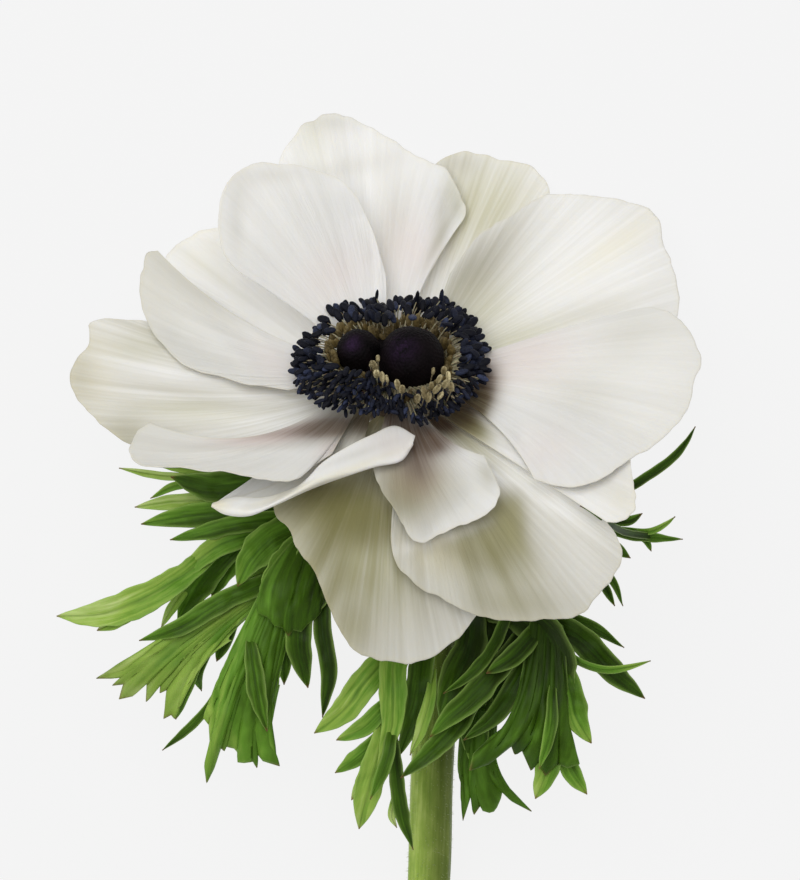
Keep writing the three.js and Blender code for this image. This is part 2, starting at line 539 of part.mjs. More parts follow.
const bracts = {
  leaf_left: {
    sheath: [150, 235],
    lobes: [
      // arms that carry the upper lobes
      [4.4, 0.7, [4.6, -33.2, -10.5], [-4, -27, -6.5], [-12, -20.5, -3], [-19, -17.6, -1.5]],
      [4.4, 0.8, [-3, -26, -6.5], [-9, -18.5, -4.5], [-15, -14.3, -2.5]],
      // upper lobes, from the top
      [3.0, 0.8, [-12, -14.5, -3.6], [-26, -12.2, -4], [-36.9, -11.4, -5.5]],
      [4.2, 0.7, [-13, -15, -2], [-22, -14, -0.5], [-29, -14.3, -0.5], [-35.3, -13, -2.5]],
      [1.3, 0.8, [-28, -12.8, -4.2], [-36, -12.9, -5], [-43.5, -11.6, -6]],
      [1.3, 0.8, [-29, -13.6, -3.6], [-35, -14.6, -4.6], [-38.5, -16.4, -6]],
      [3.4, 0.7, [-20, -16.2, -2.4], [-34, -16.3, -4.8], [-41, -17.8, -6.5]],
      [3.9, 0.7, [-16, -18, -1.8], [-28, -18.8, -1], [-34, -19.4, -2], [-40, -20.5, -4]],
      [3.0, 0.8, [-13, -19.5, -2.2], [-24, -20.4, 0.4], [-30, -21.8, 0], [-35.4, -23, -2]],
      // the long middle lobe and what hangs behind it
      [5.4, 0.55, [-8, -23.5, -4.6], [-17, -21.4, -1.5], [-29.5, -25.2, 0.8], [-38, -31.6, 0],
        [-45, -34.3, -2], [-53.4, -35.1, -5]],
      [2.2, 0.8, [-40, -34, -1], [-47, -37.4, -3.5]],
      [4.6, 0.6, [-24, -22.5, -1.5], [-30, -29, -4.5], [-34.2, -36.2, -7]],
      [1.6, 0.8, [-31.5, -29, -4.6], [-35.2, -34, -5], [-36.8, -36.9, -6]],
      [3.4, 0.7, [-23, -22, -1.6], [-26.8, -28, -5], [-28.8, -32, -7]],
      [5.2, 0.6, [-11, -20.5, -2.6], [-18, -22, 1.6], [-22.5, -26, 2.6], [-24.7, -30.4, 1.6]],
      // the broad lower lobe
      [7.4, 0.45, [4.3, -33.8, -10.8], [-6, -29.5, -6], [-14, -28.2, -3], [-22, -31.2, -1],
        [-29, -37.2, 0], [-37, -44, -1]],
      [3.2, 0.8, [-17, -28.4, -1.2], [-27, -32.8, 1.6], [-34, -36.9, 1], [-40.3, -39, -1]],
      [2.8, 0.8, [-29, -38.2, 0], [-39, -41.9, -1], [-47, -45, -4]],
      [2.2, 0.9, [-31, -39.8, 0], [-39, -43.4, -1], [-44.5, -46.1, -4]],
      [3.1, 0.8, [-32, -41, 0], [-38.5, -44.6, -1], [-43.4, -48.2, -4]],
      [2.2, 0.9, [-33, -41.5, -0.5], [-37, -45, -1.5], [-39, -48.8, -5]],
      [2.5, 0.9, [-31, -39.8, 0.6], [-35.3, -45.3, 0], [-36.3, -51.3, -5]],
      [2.6, 0.9, [-30, -39, -0.8], [-33, -46, -2.5], [-34.5, -51.5, -6]],
      [1.9, 1.0, [-28.5, -38.5, -1], [-31, -44, -3], [-30.4, -47, -6]],
      [2.2, 1.0, [-25.5, -36, -0.8], [-28, -42.3, -4]],
      // the hanging lobe
      [9.2, 0.35, [4.8, -34.4, -10.3], [-6, -26.5, -1.5], [-14, -25.2, 2], [-19, -30, 4.2], [-22, -38, 5],
        [-23.6, -46, 4], [-24.2, -53.5, 1.5]],
      [1.9, 1.0, [-26, -45, 3.8], [-31, -51.5, 1.5], [-36.6, -56.4, -3]],
      [3.4, 0.8, [-25, -46, 3.4], [-28, -55.5, 1], [-29.5, -61.4, -3]],
      [2.6, 0.9, [-24.5, -47, 3.4], [-26.8, -56.4, -1]],
      [3.0, 0.9, [-23.6, -47, 3.2], [-23.9, -58.5, -2]],
      [2.6, 0.9, [-22.5, -46, 3.4], [-21.7, -59, -2]],
      [3.4, 0.8, [-21.4, -44, 3.8], [-20.2, -54, 1], [-18, -58.9, -2]],
      [2.7, 0.7, [-21.8, -39, 5.2], [-21.3, -47, 6.2], [-20, -53.2, 4.2]],
      // the broad lobe next to the middle
      [9.0, 0.4, [-1, -28.6, -3.2], [-8.5, -22.5, 2], [-13.5, -26, 5.4], [-17, -31.5, 7],
        [-20.8, -35.2, 6]],
      [5.5, 0.7, [-7, -23.5, 1.6], [-10.6, -27, 5], [-12, -34.5, 6]],
      [3.6, 0.9, [-13.5, -28, 5], [-17, -38, 3.5], [-17.3, -46, 0]],
      [4.0, 0.8, [-13.5, -28, 5.4], [-15, -39, 5], [-13.5, -46.5, 1.5]],
      [2.8, 0.8, [-11, -28, 4.8], [-11.2, -37, 5], [-10.2, -44, 4.5], [-11.2, -51.2, 1]],
    ],
  },
  leaf_front: {
    sheath: [254, 308],
    lobes: [
      [4.4, 0.8, [7.6, -35, -9.6], [4, -37.5, -2], [0.2, -42, 3.5], [0, -47.5, 5], [-0.3, -53, 4.2],
        [-2.5, -59.5, 2.6]],
      [4.4, 0.8, [1.6, -39.2, 0.6], [-3.6, -44.5, 3.6], [-8, -50.3, 3.2], [-12.5, -53.7, 1]],
      [2.9, 0.8, [0.4, -47.4, 4.8], [-4.5, -52.6, 3.4], [-9, -54.8, 1.5]],
      [2.6, 0.8, [-0.4, -52.6, 4], [-5, -57, 2], [-9.2, -60, -0.5]],
      [4.4, 0.7, [-1.2, -54.5, 3.8], [-3.4, -61, 2.2], [-4.5, -65, 0.8], [-5.4, -68.9, -2]],
      [2.0, 1.0, [-3, -58.8, 2.6], [-6.6, -64.3, 0]],
      [2.1, 1.0, [0, -51.5, 4.6], [-1.2, -58.5, 5.4], [-3.6, -64.2, 3.5]],
      [2.4, 1.0, [-0.2, -52, 4.2], [0.5, -60, 2.2], [1.3, -66, 0], [3.2, -72.2, -4]],
      [1.3, 1.0, [0.9, -62.6, 1.4], [-0.2, -66.8, -1], [0.6, -68.7, -2]],
      [4.0, 0.8, [5.2, -36.4, -4.4], [4.5, -43, 0.6], [3.5, -50, 2], [0.9, -57.4, 1.6]],
      [2.5, 0.8, [6, -38, -2.4], [6.4, -45, 2.6], [4.9, -52, 3.6], [2.6, -57.5, 2.2]],
    ],
  },
  leaf_right: {
    sheath: [-30, 70],
    lobes: [
      // arms
      [6.0, 0.6, [10.6, -33.4, -11.5], [15.4, -33.4, -5], [20.5, -35, 1.5], [24.8, -39, 3.4],
        [26.4, -45, 3.4], [26.2, -57, 2]],
      [6.0, 0.6, [13, -33.4, -6], [17, -37.5, -3.5], [17, -44, -3.5], [15.5, -52, -4.5]],
      [4.6, 0.7, [12, -33.4, -6.5], [11.2, -40, -3], [9, -45, -1.4], [8.4, -49, -1.4]],
      [3.0, 0.8, [10.8, -32.4, -11.5], [18, -28, -5.5], [26, -23, -1.6], [33, -18, 0.8], [37, -14.7, 2]],
      // lobes that hang in front of the stem
      [3.7, 0.7, [15.5, -42, -2.4], [10.5, -51.5, 1.6], [6, -56.6, 3.4], [1.2, -60.8, 2.2]],
      [4.0, 0.7, [20.5, -38.5, 2.6], [13, -47.6, 5.4], [8.5, -51.5, 5.4], [5.9, -54.3, 4]],
      [1.9, 1.0, [18.4, -34.2, 0.4], [15.6, -40.5, 5], [12, -44.6, 6], [8, -47.4, 4.5]],
      [3.2, 0.8, [23.5, -36.6, 2.8], [19, -41.5, 5.8], [14.8, -44.2, 5.6]],
      [3.2, 0.8, [23, -39, 2.4], [16.4, -50.6, 1.6], [11.2, -54.8, 0.6]],
      // hanging lobes
      [5.6, 0.7, [25.4, -38.5, 3.6], [22, -47.5, 5.4], [17.5, -53.5, 5], [12.1, -59.6, 3]],
      [2.6, 0.9, [14.6, -44, -3.6], [10.2, -54, -4.2], [12, -63, -5.5], [11.1, -67.6, -8]],
      [4.6, 0.8, [16.4, -48, -3.8], [14.6, -58, -5], [15, -66.3, -8]],
      [1.8, 1.0, [14.6, -56, -4.8], [12.9, -66.6, -8]],
      [1.8, 1.0, [14.8, -57, -4.8], [18.5, -63, -7], [22, -66.1, -9]],
      [4.6, 0.8, [25, -43, 3], [21.5, -53, 1], [21.9, -59.9, -1]],
      [1.6, 1.0, [21.6, -51, 1.4], [19, -57, -1]],
      [2.5, 0.9, [26, -42.5, 3.8], [25, -52, 5.6], [23.2, -59.4, 4]],
      [4.0, 0.8, [26.2, -52.5, 2.6], [24.3, -60, 1.5], [22.6, -64.1, 0]],
      [3.2, 0.8, [26.2, -53, 2.6], [28.2, -59.5, 1.5], [30.8, -63.4, 0]],
      [2.2, 1.0, [26, -55.6, 2.2], [29.5, -63.1, -1]],
      [1.9, 1.0, [26.2, -51.6, 2.6], [29.5, -58.6, -1]],
      [4.2, 0.8, [25.6, -41, 3.4], [28, -46.5, 4], [29, -51, 3.5], [31.5, -55.3, 2]],
      [4.4, 0.7, [20, -34.4, 1.2], [29, -38.2, 0.2], [35, -44, -1], [40, -48.2, -4]],
      [1.3, 1.0, [25.6, -39.2, 3.4], [29.5, -42.3, 3.2], [33.5, -43.6, 3], [37, -43.3, 2],
        [40.9, -42.2, 0]],
      [2.1, 1.0, [18.5, -33.4, 0], [31, -36.6, -4], [36.7, -40.1, -6]],
      // lobes along the upper arm
      [1.8, 1.0, [27, -22.4, -1.4], [34, -28.5, -3], [36.5, -33.5, -6]],
      [1.4, 1.0, [31.4, -26.2, -2.4], [35.2, -33.5, -6]],
      [2.2, 1.0, [30, -20.6, -0.2], [37.7, -25.9, -4]],
      [2.0, 1.0, [31.5, -18.8, 0.3], [36, -22, 0.4], [41, -22.8, 0], [46, -22.9, -2]],
      [1.4, 1.0, [36, -22, 0.3], [41.5, -21.2, 0.5], [44.7, -19.3, -0.5]],
      [1.3, 1.0, [38.5, -22.4, 0.2], [41, -24.8, -2]],
      [1.5, 1.0, [33, -19.8, 0.3], [37.5, -19.9, 1], [39.6, -18.8, 0.5]],
      [2.5, 0.8, [34, -17, 1], [40, -13, 2.5], [44, -10, 2.5], [46.5, -7.4, 1.5], [48, -5, 0]],
    ],
  },
};

// A lobe widens from its root to about its middle and narrows to a point.
function lobeWidth(share, rootShare) {
  const swell = Math.sin(Math.PI * Math.min(share / 0.56, 1) / 2);
  const taper = share < 0.56 ? 1 : Math.cos(Math.PI * (share - 0.56) / 0.88) ** 0.85;
  return (rootShare + (1 - rootShare) * swell) * taper;
}

// A blade along a midrib: flat where it is narrow, channelled where it is broad.
function lobe([width, rootShare, ...midrib]) {
  const route = smoothThrough(midrib);
  const steps = midrib.length;
  const channelled = width > 4.5;
  const rings = [];
  for (let step = 0; step <= steps; step += 1) {
    const share = step / steps;
    const middle = route.getPointAt(share);
    const heading = route.getTangentAt(share);
    const across = new THREE.Vector2(-heading.y, heading.x).normalize();
    const halfWidth = Math.max(width * lobeWidth(share, rootShare) / 2, 0.32);
    const sag = channelled ? 0.16 * halfWidth : 0;
    const blade = (offset, level) => place(
      middle.x + across.x * offset * halfWidth,
      middle.y + across.y * offset * halfWidth,
      middle.z + level * bractThickness / 2 - sag * (1 - Math.abs(offset)),
    );
    const offsets = channelled ? [-1, 0, 1] : [-1, 1];
    const upper = offsets.map((offset) => blade(offset, 1));
    const lower = offsets.map((offset) => blade(offset, -1));
    rings.push([...upper, ...lower.reverse()]);
  }
  return lofted(rings);
}

// The foot of a bract wraps part of the stem at the collar.
const collar = {
  middle: place(7, -33.2, -13.35),
  radius: stemRadius + seatGap + bractThickness / 2,
  length: 5,
};
const collarHeading = stemCurve.getTangentAt(0.17);

// A thin sleeve round part of the stem.
function bractFoot([from, to]) {
  const side = new THREE.Vector3(1, 0, 0).addScaledVector(collarHeading, -collarHeading.x).normalize();
  const top = side.clone().cross(collarHeading).normalize();
  const grid = [-0.5, 0.5].map((along) => Array.from({ length: 7 }, (_, i) => {
    const turn = THREE.MathUtils.degToRad(THREE.MathUtils.lerp(from, to, i / 6));
    return collar.middle.clone()
      .addScaledVector(collarHeading, along * collar.length)
      .addScaledVector(side, collar.radius * Math.cos(turn))
      .addScaledVector(top, collar.radius * Math.sin(turn));
  }));
  return shell(grid, bractThickness);
}

const stemRoom = roundTube(stemCurve, stemSteps, () => stemRadius + seatGap, stemSides);

for (const [name, { sheath, lobes }] of Object.entries(bracts)) {
  const body = joined([...lobes.map(lobe), bractFoot(sheath)]).subtract(stemRoom);
  addPiece(name, largest(aboveSurface(body)), leafGreen);
}

export default flower;
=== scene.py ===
import math

import bpy
import numpy as np
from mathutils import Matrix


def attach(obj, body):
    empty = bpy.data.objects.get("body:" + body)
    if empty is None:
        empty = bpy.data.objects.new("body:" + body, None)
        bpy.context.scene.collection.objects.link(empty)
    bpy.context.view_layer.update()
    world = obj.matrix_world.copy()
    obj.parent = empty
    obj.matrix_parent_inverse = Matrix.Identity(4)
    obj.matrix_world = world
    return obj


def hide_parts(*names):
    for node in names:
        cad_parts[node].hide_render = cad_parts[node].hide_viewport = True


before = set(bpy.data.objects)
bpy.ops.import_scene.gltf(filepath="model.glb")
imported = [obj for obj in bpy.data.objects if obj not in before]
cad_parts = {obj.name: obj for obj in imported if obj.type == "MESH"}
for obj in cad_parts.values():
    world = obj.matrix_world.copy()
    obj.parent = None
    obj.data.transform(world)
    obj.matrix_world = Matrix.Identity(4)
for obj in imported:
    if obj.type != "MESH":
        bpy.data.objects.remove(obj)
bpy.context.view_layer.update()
print("frame loaded")

# where the bloom stands; all lengths in this file are millimetres until a mesh is filled
bloom = {
    "middle": (2.7, 67.3, 25.0),
    "seenFrom": 900.0,  # outlines are as seen from this height over the bloom's middle
    "lean": 52.0,  # degrees that the flower's axis leans back from straight up
    "storeyHeight": 1.17,
    "flatReach": 8.0,
    "rimReach": 45.0,
    "rimHeight": (4, -24, 3),  # all round, more of it at the back, more at both sides
    "backSlope": -0.3,  # of the rim at the back
    "footHalfWidths": (6.9, 5.7),
    "clawSpread": 17.0,  # degrees to each side of a claw's middle
    "floorClearance": 0.04,
}
axisUp = math.cos(math.radians(bloom["lean"]))
axisBack = math.sin(math.radians(bloom["lean"]))
steepness = axisBack / axisUp
flowerAxis = np.array([0, axisBack, axisUp])


# Places and curves

def place(x, y, z):
    # the true place of a seen one: the nearer to the eye, the smaller the true size
    nearer = (bloom["seenFrom"] - z) / bloom["seenFrom"]
    middle = bloom["middle"]
    return np.stack([x * nearer + middle[0], y * nearer + middle[1], z + middle[2]], -1)


def onFlower(across, back, up):
    # the flower's own frame turned back by its lean
    middle = bloom["middle"]
    across, back, up = np.broadcast_arrays(across, back, up)
    return np.stack([
        across + middle[0],
        back * axisUp + up * axisBack + middle[1],
        -back * axisBack + up * axisUp + middle[2],
    ], -1)


def smoothThrough(points, shares, even=True):
    # centripetal Catmull-Rom curve through the points, read at shares of its length, or of
    # its number of points if not even
    knots = np.array(points, float)
    padded = np.vstack([2 * knots[0] - knots[1], knots, 2 * knots[-1] - knots[-2]])
    gaps = np.maximum(np.sqrt(np.linalg.norm(np.diff(padded, axis=0), axis=1)), 1e-4)
    last = len(knots) - 1
    spots = np.linspace(0, last, 40 * last + 1) if even else np.asarray(shares) * last
    part = np.minimum(spots.astype(int), last - 1)
    u = (spots - part)[:, None]
    before, start, end, after = (padded[part + k] for k in range(4))
    gapA, gapB, gapC = (gaps[part + k][:, None] for k in range(3))
    leave = ((start - before) / gapA - (end - before) / (gapA + gapB) + (end - start) / gapB) * gapB
    arrive = ((end - start) / gapB - (after - start) / (gapB + gapC) + (after - end) / gapC) * gapB
    curve = (start + leave * u + (3 * (end - start) - 2 * leave - arrive) * u ** 2
             + (2 * (start - end) + leave + arrive) * u ** 3)
    if not even:
        return curve
    run = runAlong(curve)
    return np.stack([np.interp(np.asarray(shares) * run[-1], run, axis) for axis in curve.T], 1)


def runAlong(curve):
    # how far along a chain of points each of them lies
    return np.concatenate([[0], np.cumsum(np.linalg.norm(np.diff(curve, axis=0), axis=1))])


def unit(vectors):
    return vectors / np.maximum(np.linalg.norm(vectors, axis=-1, keepdims=True), 1e-9)


def roundTurn(count, start=0.0):
    # angles that go once round in equal steps
    return 2 * np.pi * (np.arange(count) + start) / count


def closeToEnds(count, edge):
    # shares from 0 to 1 with one narrow step at each end, so that a rounded edge stays narrow
    return np.concatenate([[0], np.linspace(edge, 1 - edge, count - 2), [1]])


def bell(distance, width):
    return np.exp(-(distance / width) ** 2)


def ripple(u, v, seed, size, count=9):
    # smooth uneven surface from -1 to 1: a sum of waves in all directions, about size long
    dice = np.random.default_rng(seed)
    heading = dice.uniform(0, 2 * np.pi, count)
    length = size * dice.uniform(0.6, 1.7, count)
    phase = dice.uniform(0, 2 * np.pi, count)
    waves = sum(np.sin(2 * np.pi * (u * math.cos(h) + v * math.sin(h)) / s + p)
                for h, s, p in zip(heading, length, phase))
    return waves / math.sqrt(2 * count)


# Meshes

def addObject(name, data):
    thing = bpy.data.objects.new(name, data)
    bpy.context.scene.collection.objects.link(thing)
    return thing


def fillPiece(name, points, faces, material, node, fields):
    # points in mm, faces as arrays of quads and triangles, fields as attributes on the points
    corners = np.concatenate([part.ravel() for part in faces])
    sizes = np.concatenate([np.full(len(part), part.shape[1]) for part in faces])
    starts = np.concatenate([[0], np.cumsum(sizes)[:-1]])
    points[:, 2] = np.maximum(points[:, 2], bloom["floorClearance"])  # nothing goes under the floor
    mesh = bpy.data.meshes.new(name)
    mesh.vertices.add(len(points))
    mesh.vertices.foreach_set("co", (points * 0.001).astype(np.float32).ravel())
    mesh.loops.add(len(corners))
    mesh.loops.foreach_set("vertex_index", corners.astype(np.int32))
    mesh.polygons.add(len(sizes))
    mesh.polygons.foreach_set("loop_start", starts.astype(np.int32))
    mesh.polygons.foreach_set("use_smooth", np.ones(len(sizes), bool))
    mesh.update(calc_edges=True)
    mesh.validate()
    for key, values in fields.items():
        values = np.broadcast_to(values, (len(points), 3) if np.ndim(values) == 2 else len(points))
        kind, part = ("FLOAT_VECTOR", "vector") if values.ndim == 2 else ("FLOAT", "value")
        whole = values.astype(np.float32).ravel()
        mesh.attributes.new(key, kind, "POINT").data.foreach_set(part, whole)
    mesh.materials.append(material)
    piece = addObject(name, mesh)
    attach(piece, "root")
    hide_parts(node)


def turnedOut(points, *faces):
    # the faces of a closed skin, all turned round if its volume comes out negative
    corners = [points[faces[0][:, k]] for k in range(faces[0].shape[1])]
    volume = sum(np.sum(corners[0] * np.cross(one, two)) for one, two in zip(corners[1:], corners[2:]))
    return [part if volume > 0 else part[:, ::-1] for part in faces]


def quadsBetween(low, high):
    # quads between two rows of point numbers, or two grids of them
    return np.stack([low[..., :-1], low[..., 1:], high[..., 1:], high[..., :-1]], -1).reshape(-1, 4)


def sheetSkin(sheet, thickness):
    # closed skin of a sheet: its grid moved half a thickness up and down its normals, and joined
    grid = sheet.shape[:2]
    size = grid[0] * grid[1]
    normals = unit(np.cross(np.gradient(sheet, axis=0), np.gradient(sheet, axis=1)))
    half = normals * np.broadcast_to(thickness, grid)[..., None] / 2
    points = np.concatenate([(sheet + half).reshape(-1, 3), (sheet - half).reshape(-1, 3)])
    index = np.arange(size).reshape(grid)
    top = quadsBetween(index[:-1], index[1:])
    rim = np.concatenate([index[0], index[1:, -1], index[-1, -2::-1], index[-2:0:-1, 0], index[0, :1]])
    wall = quadsBetween(rim, rim + size)[:, ::-1]
    return points, turnedOut(points, np.concatenate([top, (top + size)[:, ::-1], wall]))


def ringFaces(rings, sides):
    # quads between rings of points, and triangles to one point more at each end
    index = np.arange(rings * sides).reshape(rings, sides)
    ahead = np.roll(index, -1, axis=1)
    quads = np.stack([index[:-1], ahead[:-1], ahead[1:], index[1:]], -1).reshape(-1, 4)
    first = np.full(sides, rings * sides)
    caps = np.concatenate([np.stack([ahead[0], index[0], first], -1),
                           np.stack([index[-1], ahead[-1], first + 1], -1)])
    return quads, caps


def tubeSkin(rings, ends):
    # closed skin of a tube: rings of points, and one point at each end
    points = np.concatenate([rings.reshape(-1, 3), ends])
    return points, turnedOut(points, *ringFaces(*rings.shape[:2]))


def ovalRings(widths, depths, ups, count):
    # ovals round the flower's axis, one for each height up it
    widths, depths, ups = (np.array(part)[:, None] for part in (widths, depths, ups))
    return onFlower(widths * np.cos(roundTurn(count)), depths * np.sin(roundTurn(count)), ups)


def repeated(points, quads, caps):
    # the faces of one shape carried over to all its repeats, turned outwards
    faces = turnedOut(points[0] - points[0].mean(0), quads, caps)
    start = (points.shape[1] * np.arange(len(points)))[:, None, None]
    return points.reshape(-1, 3), [(part + start).reshape(-1, part.shape[1]) for part in faces]


def laidOut(grid, fields, faces=1, ends=0):
    # values on a grid, or on one row or column of it, as one row for each point of its skin:
    # faces is how often the skin holds the grid, ends how many points it has beside it
    laid = {}
    for key, values in fields.items():
        parts = values if isinstance(values, tuple) else (values,)
        rows = np.stack([np.broadcast_to(part, grid).ravel() for part in parts], 1)
        laid[key] = np.vstack([np.tile(rows, (faces, 1)), np.zeros((ends, len(parts)))]).squeeze()
    return laid


# Materials

def fromHex(code):
    # an sRGB hex colour as the linear one that the nodes take
    parts = [int(code[i:i + 2], 16) / 255 for i in (1, 3, 5)]
    return (*[p / 12.92 if p <= 0.04045 else ((p + 0.055) / 1.055) ** 2.4 for p in parts], 1.0)


def setInputs(tree, node, inputs):
    # sockets by name or in order: a socket is linked, and a colour code becomes a colour
    for key, value in inputs.items() if isinstance(inputs, dict) else enumerate(inputs):
        if isinstance(value, bpy.types.NodeSocket):
            tree.links.new(value, node.inputs[key])
        else:
            node.inputs[key].default_value = fromHex(value) if isinstance(value, str) else value


def addNode(tree, kind, inputs, output=0, stops=(), **settings):
    # a node with its settings and links, and a ramp's stops; gives one of its outputs
    node = tree.nodes.new("ShaderNode" + kind)
    for key, value in settings.items():
        setattr(node, key, value)
    for _ in stops[2:]:
        node.color_ramp.elements.new(0.5)
    for number, (at, code) in enumerate(stops):
        node.color_ramp.elements[number].position = at
        node.color_ramp.elements[number].color = fromHex(code)
    setInputs(tree, node, inputs)
    return node.outputs[output]


def newMaterial(name, settings):
    material = bpy.data.materials.new(name)
    material.use_nodes = True
    setInputs(material.node_tree, material.node_tree.nodes["Principled BSDF"], settings)
    return material, material.node_tree


def finishSurface(tree, colour, roughness, height, strength, depth):
    # the colour, the roughness, and a fine relief so many mm deep
    relief = addNode(tree, "Bump", {"Strength": strength, "Distance": depth / 1000, "Height": height})
    setInputs(tree, tree.nodes["Principled BSDF"],
              {"Base Color": colour, "Roughness": roughness, "Normal": relief})


def grainAlong(tree, field, size, seed):
    # noise on a surface's own millimetres, size long in each of its two directions
    way = addNode(tree, "Attribute", {}, "Vector", attribute_name=field)
    scale = (1 / size[0], 1 / size[1], 1.0)
    spread = addNode(tree, "Mapping", {"Vector": way, "Scale": scale, "Location": (seed, seed * 1.7, 0.0)})
    return addNode(tree, "TexNoise", {"Vector": spread, "Scale": 1.0, "Detail": 3.0, "Roughness": 0.55})


def laidOver(tree, colour, layers, blend="MIX"):
    # colours laid over one another in turn, each over its own share of the surface
    for share, over in layers:
        colour = addNode(tree, "Mix", {0: share, 6: colour, 7: over}, 2, data_type="RGBA", blend_type=blend)
    return colour


timesPlus = {"operation": "MULTIPLY_ADD"}  # first value times second plus third
# the grey tint is painted shade; green and mauve are the tissue's own tints, laid on deeper in places as
# painted shade
petalTints = ("greyShade", "green", "rose", "cream", "mauveAndShade")  # laid over the white in this order
petalFinish = {
    "white": "#f1f0ed",
    "streak": "#dad8d0",  # between the veins
    "cream": "#e9dfb9",
    # the tissue's own green, also laid on as an olive painted shade where shadows are deep
    "green": "#b9b795",
    "rose": "#e3d3cf",
    # the tissue's own mauve near the claw, laid on dark brown as painted shade under the stamens
    "mauveAndShade": "#67503f",
    # painted shade, grey
    "greyShade": "#b5b2a6",
    "faintShade": "#b2b0a9",  # painted shade: both multiply the rest where shadows fall; the tissue there is also greener
    "shade": "#a29f78",
    "veins": (0.9, 26.0),  # mm apart near the rim, and mm long
    "dents": (2.6, 7.0),  # mm across and along the veins
    "dentDepth": 2.2,  # as a share of the veins' relief
    "relief": 0.18,
}


def petalTissue(finish):
    # Living petal tissue: thin, matt and a little see-through, with fine veins fanning to the
    # rim, which gives soft white with faint streaks and warm edges.
    material, tree = newMaterial("tepalTissue", {
        "Subsurface Weight": 0.22, "Subsurface Scale": 0.0012, "Subsurface Radius": (1.0, 0.85, 0.6),
        "Sheen Weight": 0.12, "Sheen Roughness": 0.5, "IOR": 1.4, "Specular IOR Level": 0.35,
    })
    apart, length = finish["veins"]
    broad = grainAlong(tree, "fan", (apart * 2.6, length * 1.4), 3.0)
    fine = grainAlong(tree, "fan", (apart, length), 11.0)
    hair = grainAlong(tree, "fan", (apart * 0.4, length * 0.5), 23.0)
    dents = grainAlong(tree, "fan", finish["dents"], 31.0)
    clearness, shade, *tints = (addNode(tree, "Attribute", {}, "Fac", attribute_name=name)
                                for name in ("vein", "shade", *petalTints))
    veins = addNode(tree, "Mix", {0: 0.5, 2: broad, 3: fine})
    streaks = addNode(tree, "MapRange", {"From Min": 0.36, "From Max": 0.62, "Value": veins})
    drawn = addNode(tree, "Math", [streaks, clearness], operation="MULTIPLY")
    uneven = addNode(tree, "Math", [drawn, 0.7, 0.8], **timesPlus)  # tints are stronger in streaks
    colour = laidOver(tree, finish["white"], [(drawn, finish["streak"])])
    for tint, kind in zip(tints, petalTints):
        share = addNode(tree, "Math", [tint, uneven], operation="MULTIPLY", use_clamp=True)
        colour = laidOver(tree, colour, [(share, finish[kind])])
    # painted shade: the shade attribute multiplies the colour, grey where faint and olive where deep
    deeper = laidOver(tree, finish["faintShade"], [(shade, finish["shade"])])
    colour = laidOver(tree, colour, [(shade, deeper)], "MULTIPLY")
    relief = addNode(tree, "Math", [hair, 0.35, veins], **timesPlus)
    relief = addNode(tree, "Math", [dents, finish["dentDepth"], relief], **timesPlus)
    roughness = addNode(tree, "Math", [fine, 0.2, 0.48], **timesPlus)
    finishSurface(tree, colour, roughness, relief, 0.55, finish["relief"])
    return material


def leafTissue():
    # Fresh green bract tissue: matt with a waxy gleam, parallel veins sunk along each lobe,
    # paler edges, and tips that have dried reddish brown.
    material, tree = newMaterial("bractTissue", {
        "Subsurface Weight": 0.08, "Subsurface Scale": 0.0008, "Subsurface Radius": (0.5, 1.0, 0.3),
        "IOR": 1.45, "Specular IOR Level": 0.14,
    })
    veins = grainAlong(tree, "blade", (0.55, 9.0), 5.0)
    patches = grainAlong(tree, "blade", (2.2, 8.0), 17.0)
    tone, midrib, edge, tip = (addNode(tree, "Attribute", {}, "Fac", attribute_name=name)
                               for name in ("tone", "midrib", "edge", "tip"))
    # the tone attribute holds painted light and shade as well as the lobes' own tone
    level = addNode(tree, "Math", [veins, 0.62, tone], **timesPlus)
    level = addNode(tree, "Math", [patches, 0.4, level], **timesPlus)
    level = addNode(tree, "Math", [level, 0.51], operation="SUBTRACT", use_clamp=True)
    green = addNode(tree, "ValToRGB", {"Fac": level}, stops=[
        (0.0, "#223407"), (0.25, "#3c5b0f"), (0.5, "#5f8a29"), (0.75, "#93b14c"), (1.0, "#c3d488")])
    sunk = addNode(tree, "Math", [midrib, 0.4], operation="MULTIPLY")
    pale = addNode(tree, "Math", [edge, 0.5], operation="MULTIPLY")
    colour = laidOver(tree, green, [(sunk, "#244408"), (pale, "#97b55c"), (tip, "#7a4a34")])
    roughness = addNode(tree, "Math", [patches, 0.25, 0.36], **timesPlus)
    finishSurface(tree, colour, roughness, veins, 0.6, 0.3)
    return material


def stemTissue():
    # Fleshy stem skin: pale yellow-green with fine lengthwise streaks and a downy, dull gleam,
    # turning brownish along one side, a real flush laid on darker as painted shade of the side
    # away from the light, and brown under the stamens, partly as their painted shade.
    material, tree = newMaterial("stemSkin", {
        "Subsurface Weight": 0.12, "Subsurface Scale": 0.001, "Subsurface Radius": (0.6, 1.0, 0.35),
        "Sheen Weight": 0.08, "Sheen Roughness": 0.4, "IOR": 1.42, "Specular IOR Level": 0.18,
    })
    lines = grainAlong(tree, "skin", (0.5, 16.0), 2.0)
    mottle = grainAlong(tree, "skin", (2.4, 4.5), 9.0)
    flushAndShade, cut, bed = (addNode(tree, "Attribute", {}, "Fac", attribute_name=name)
                       for name in ("flushAndShade", "cut", "bed"))
    level = addNode(tree, "Mix", {0: 0.5, 2: lines, 3: mottle})
    green = addNode(tree, "ValToRGB", {"Fac": level}, stops=[
        (0.36, "#84a03f"), (0.5, "#9db652"), (0.64, "#bcd070")])
    colour = laidOver(tree, green, [(flushAndShade, "#404a18"), (cut, "#c9d3a4"), (bed, "#57493a")])
    roughness = addNode(tree, "Math", [mottle, 0.25, 0.42], **timesPlus)
    finishSurface(tree, colour, roughness, level, 0.5, 0.3)
    return material
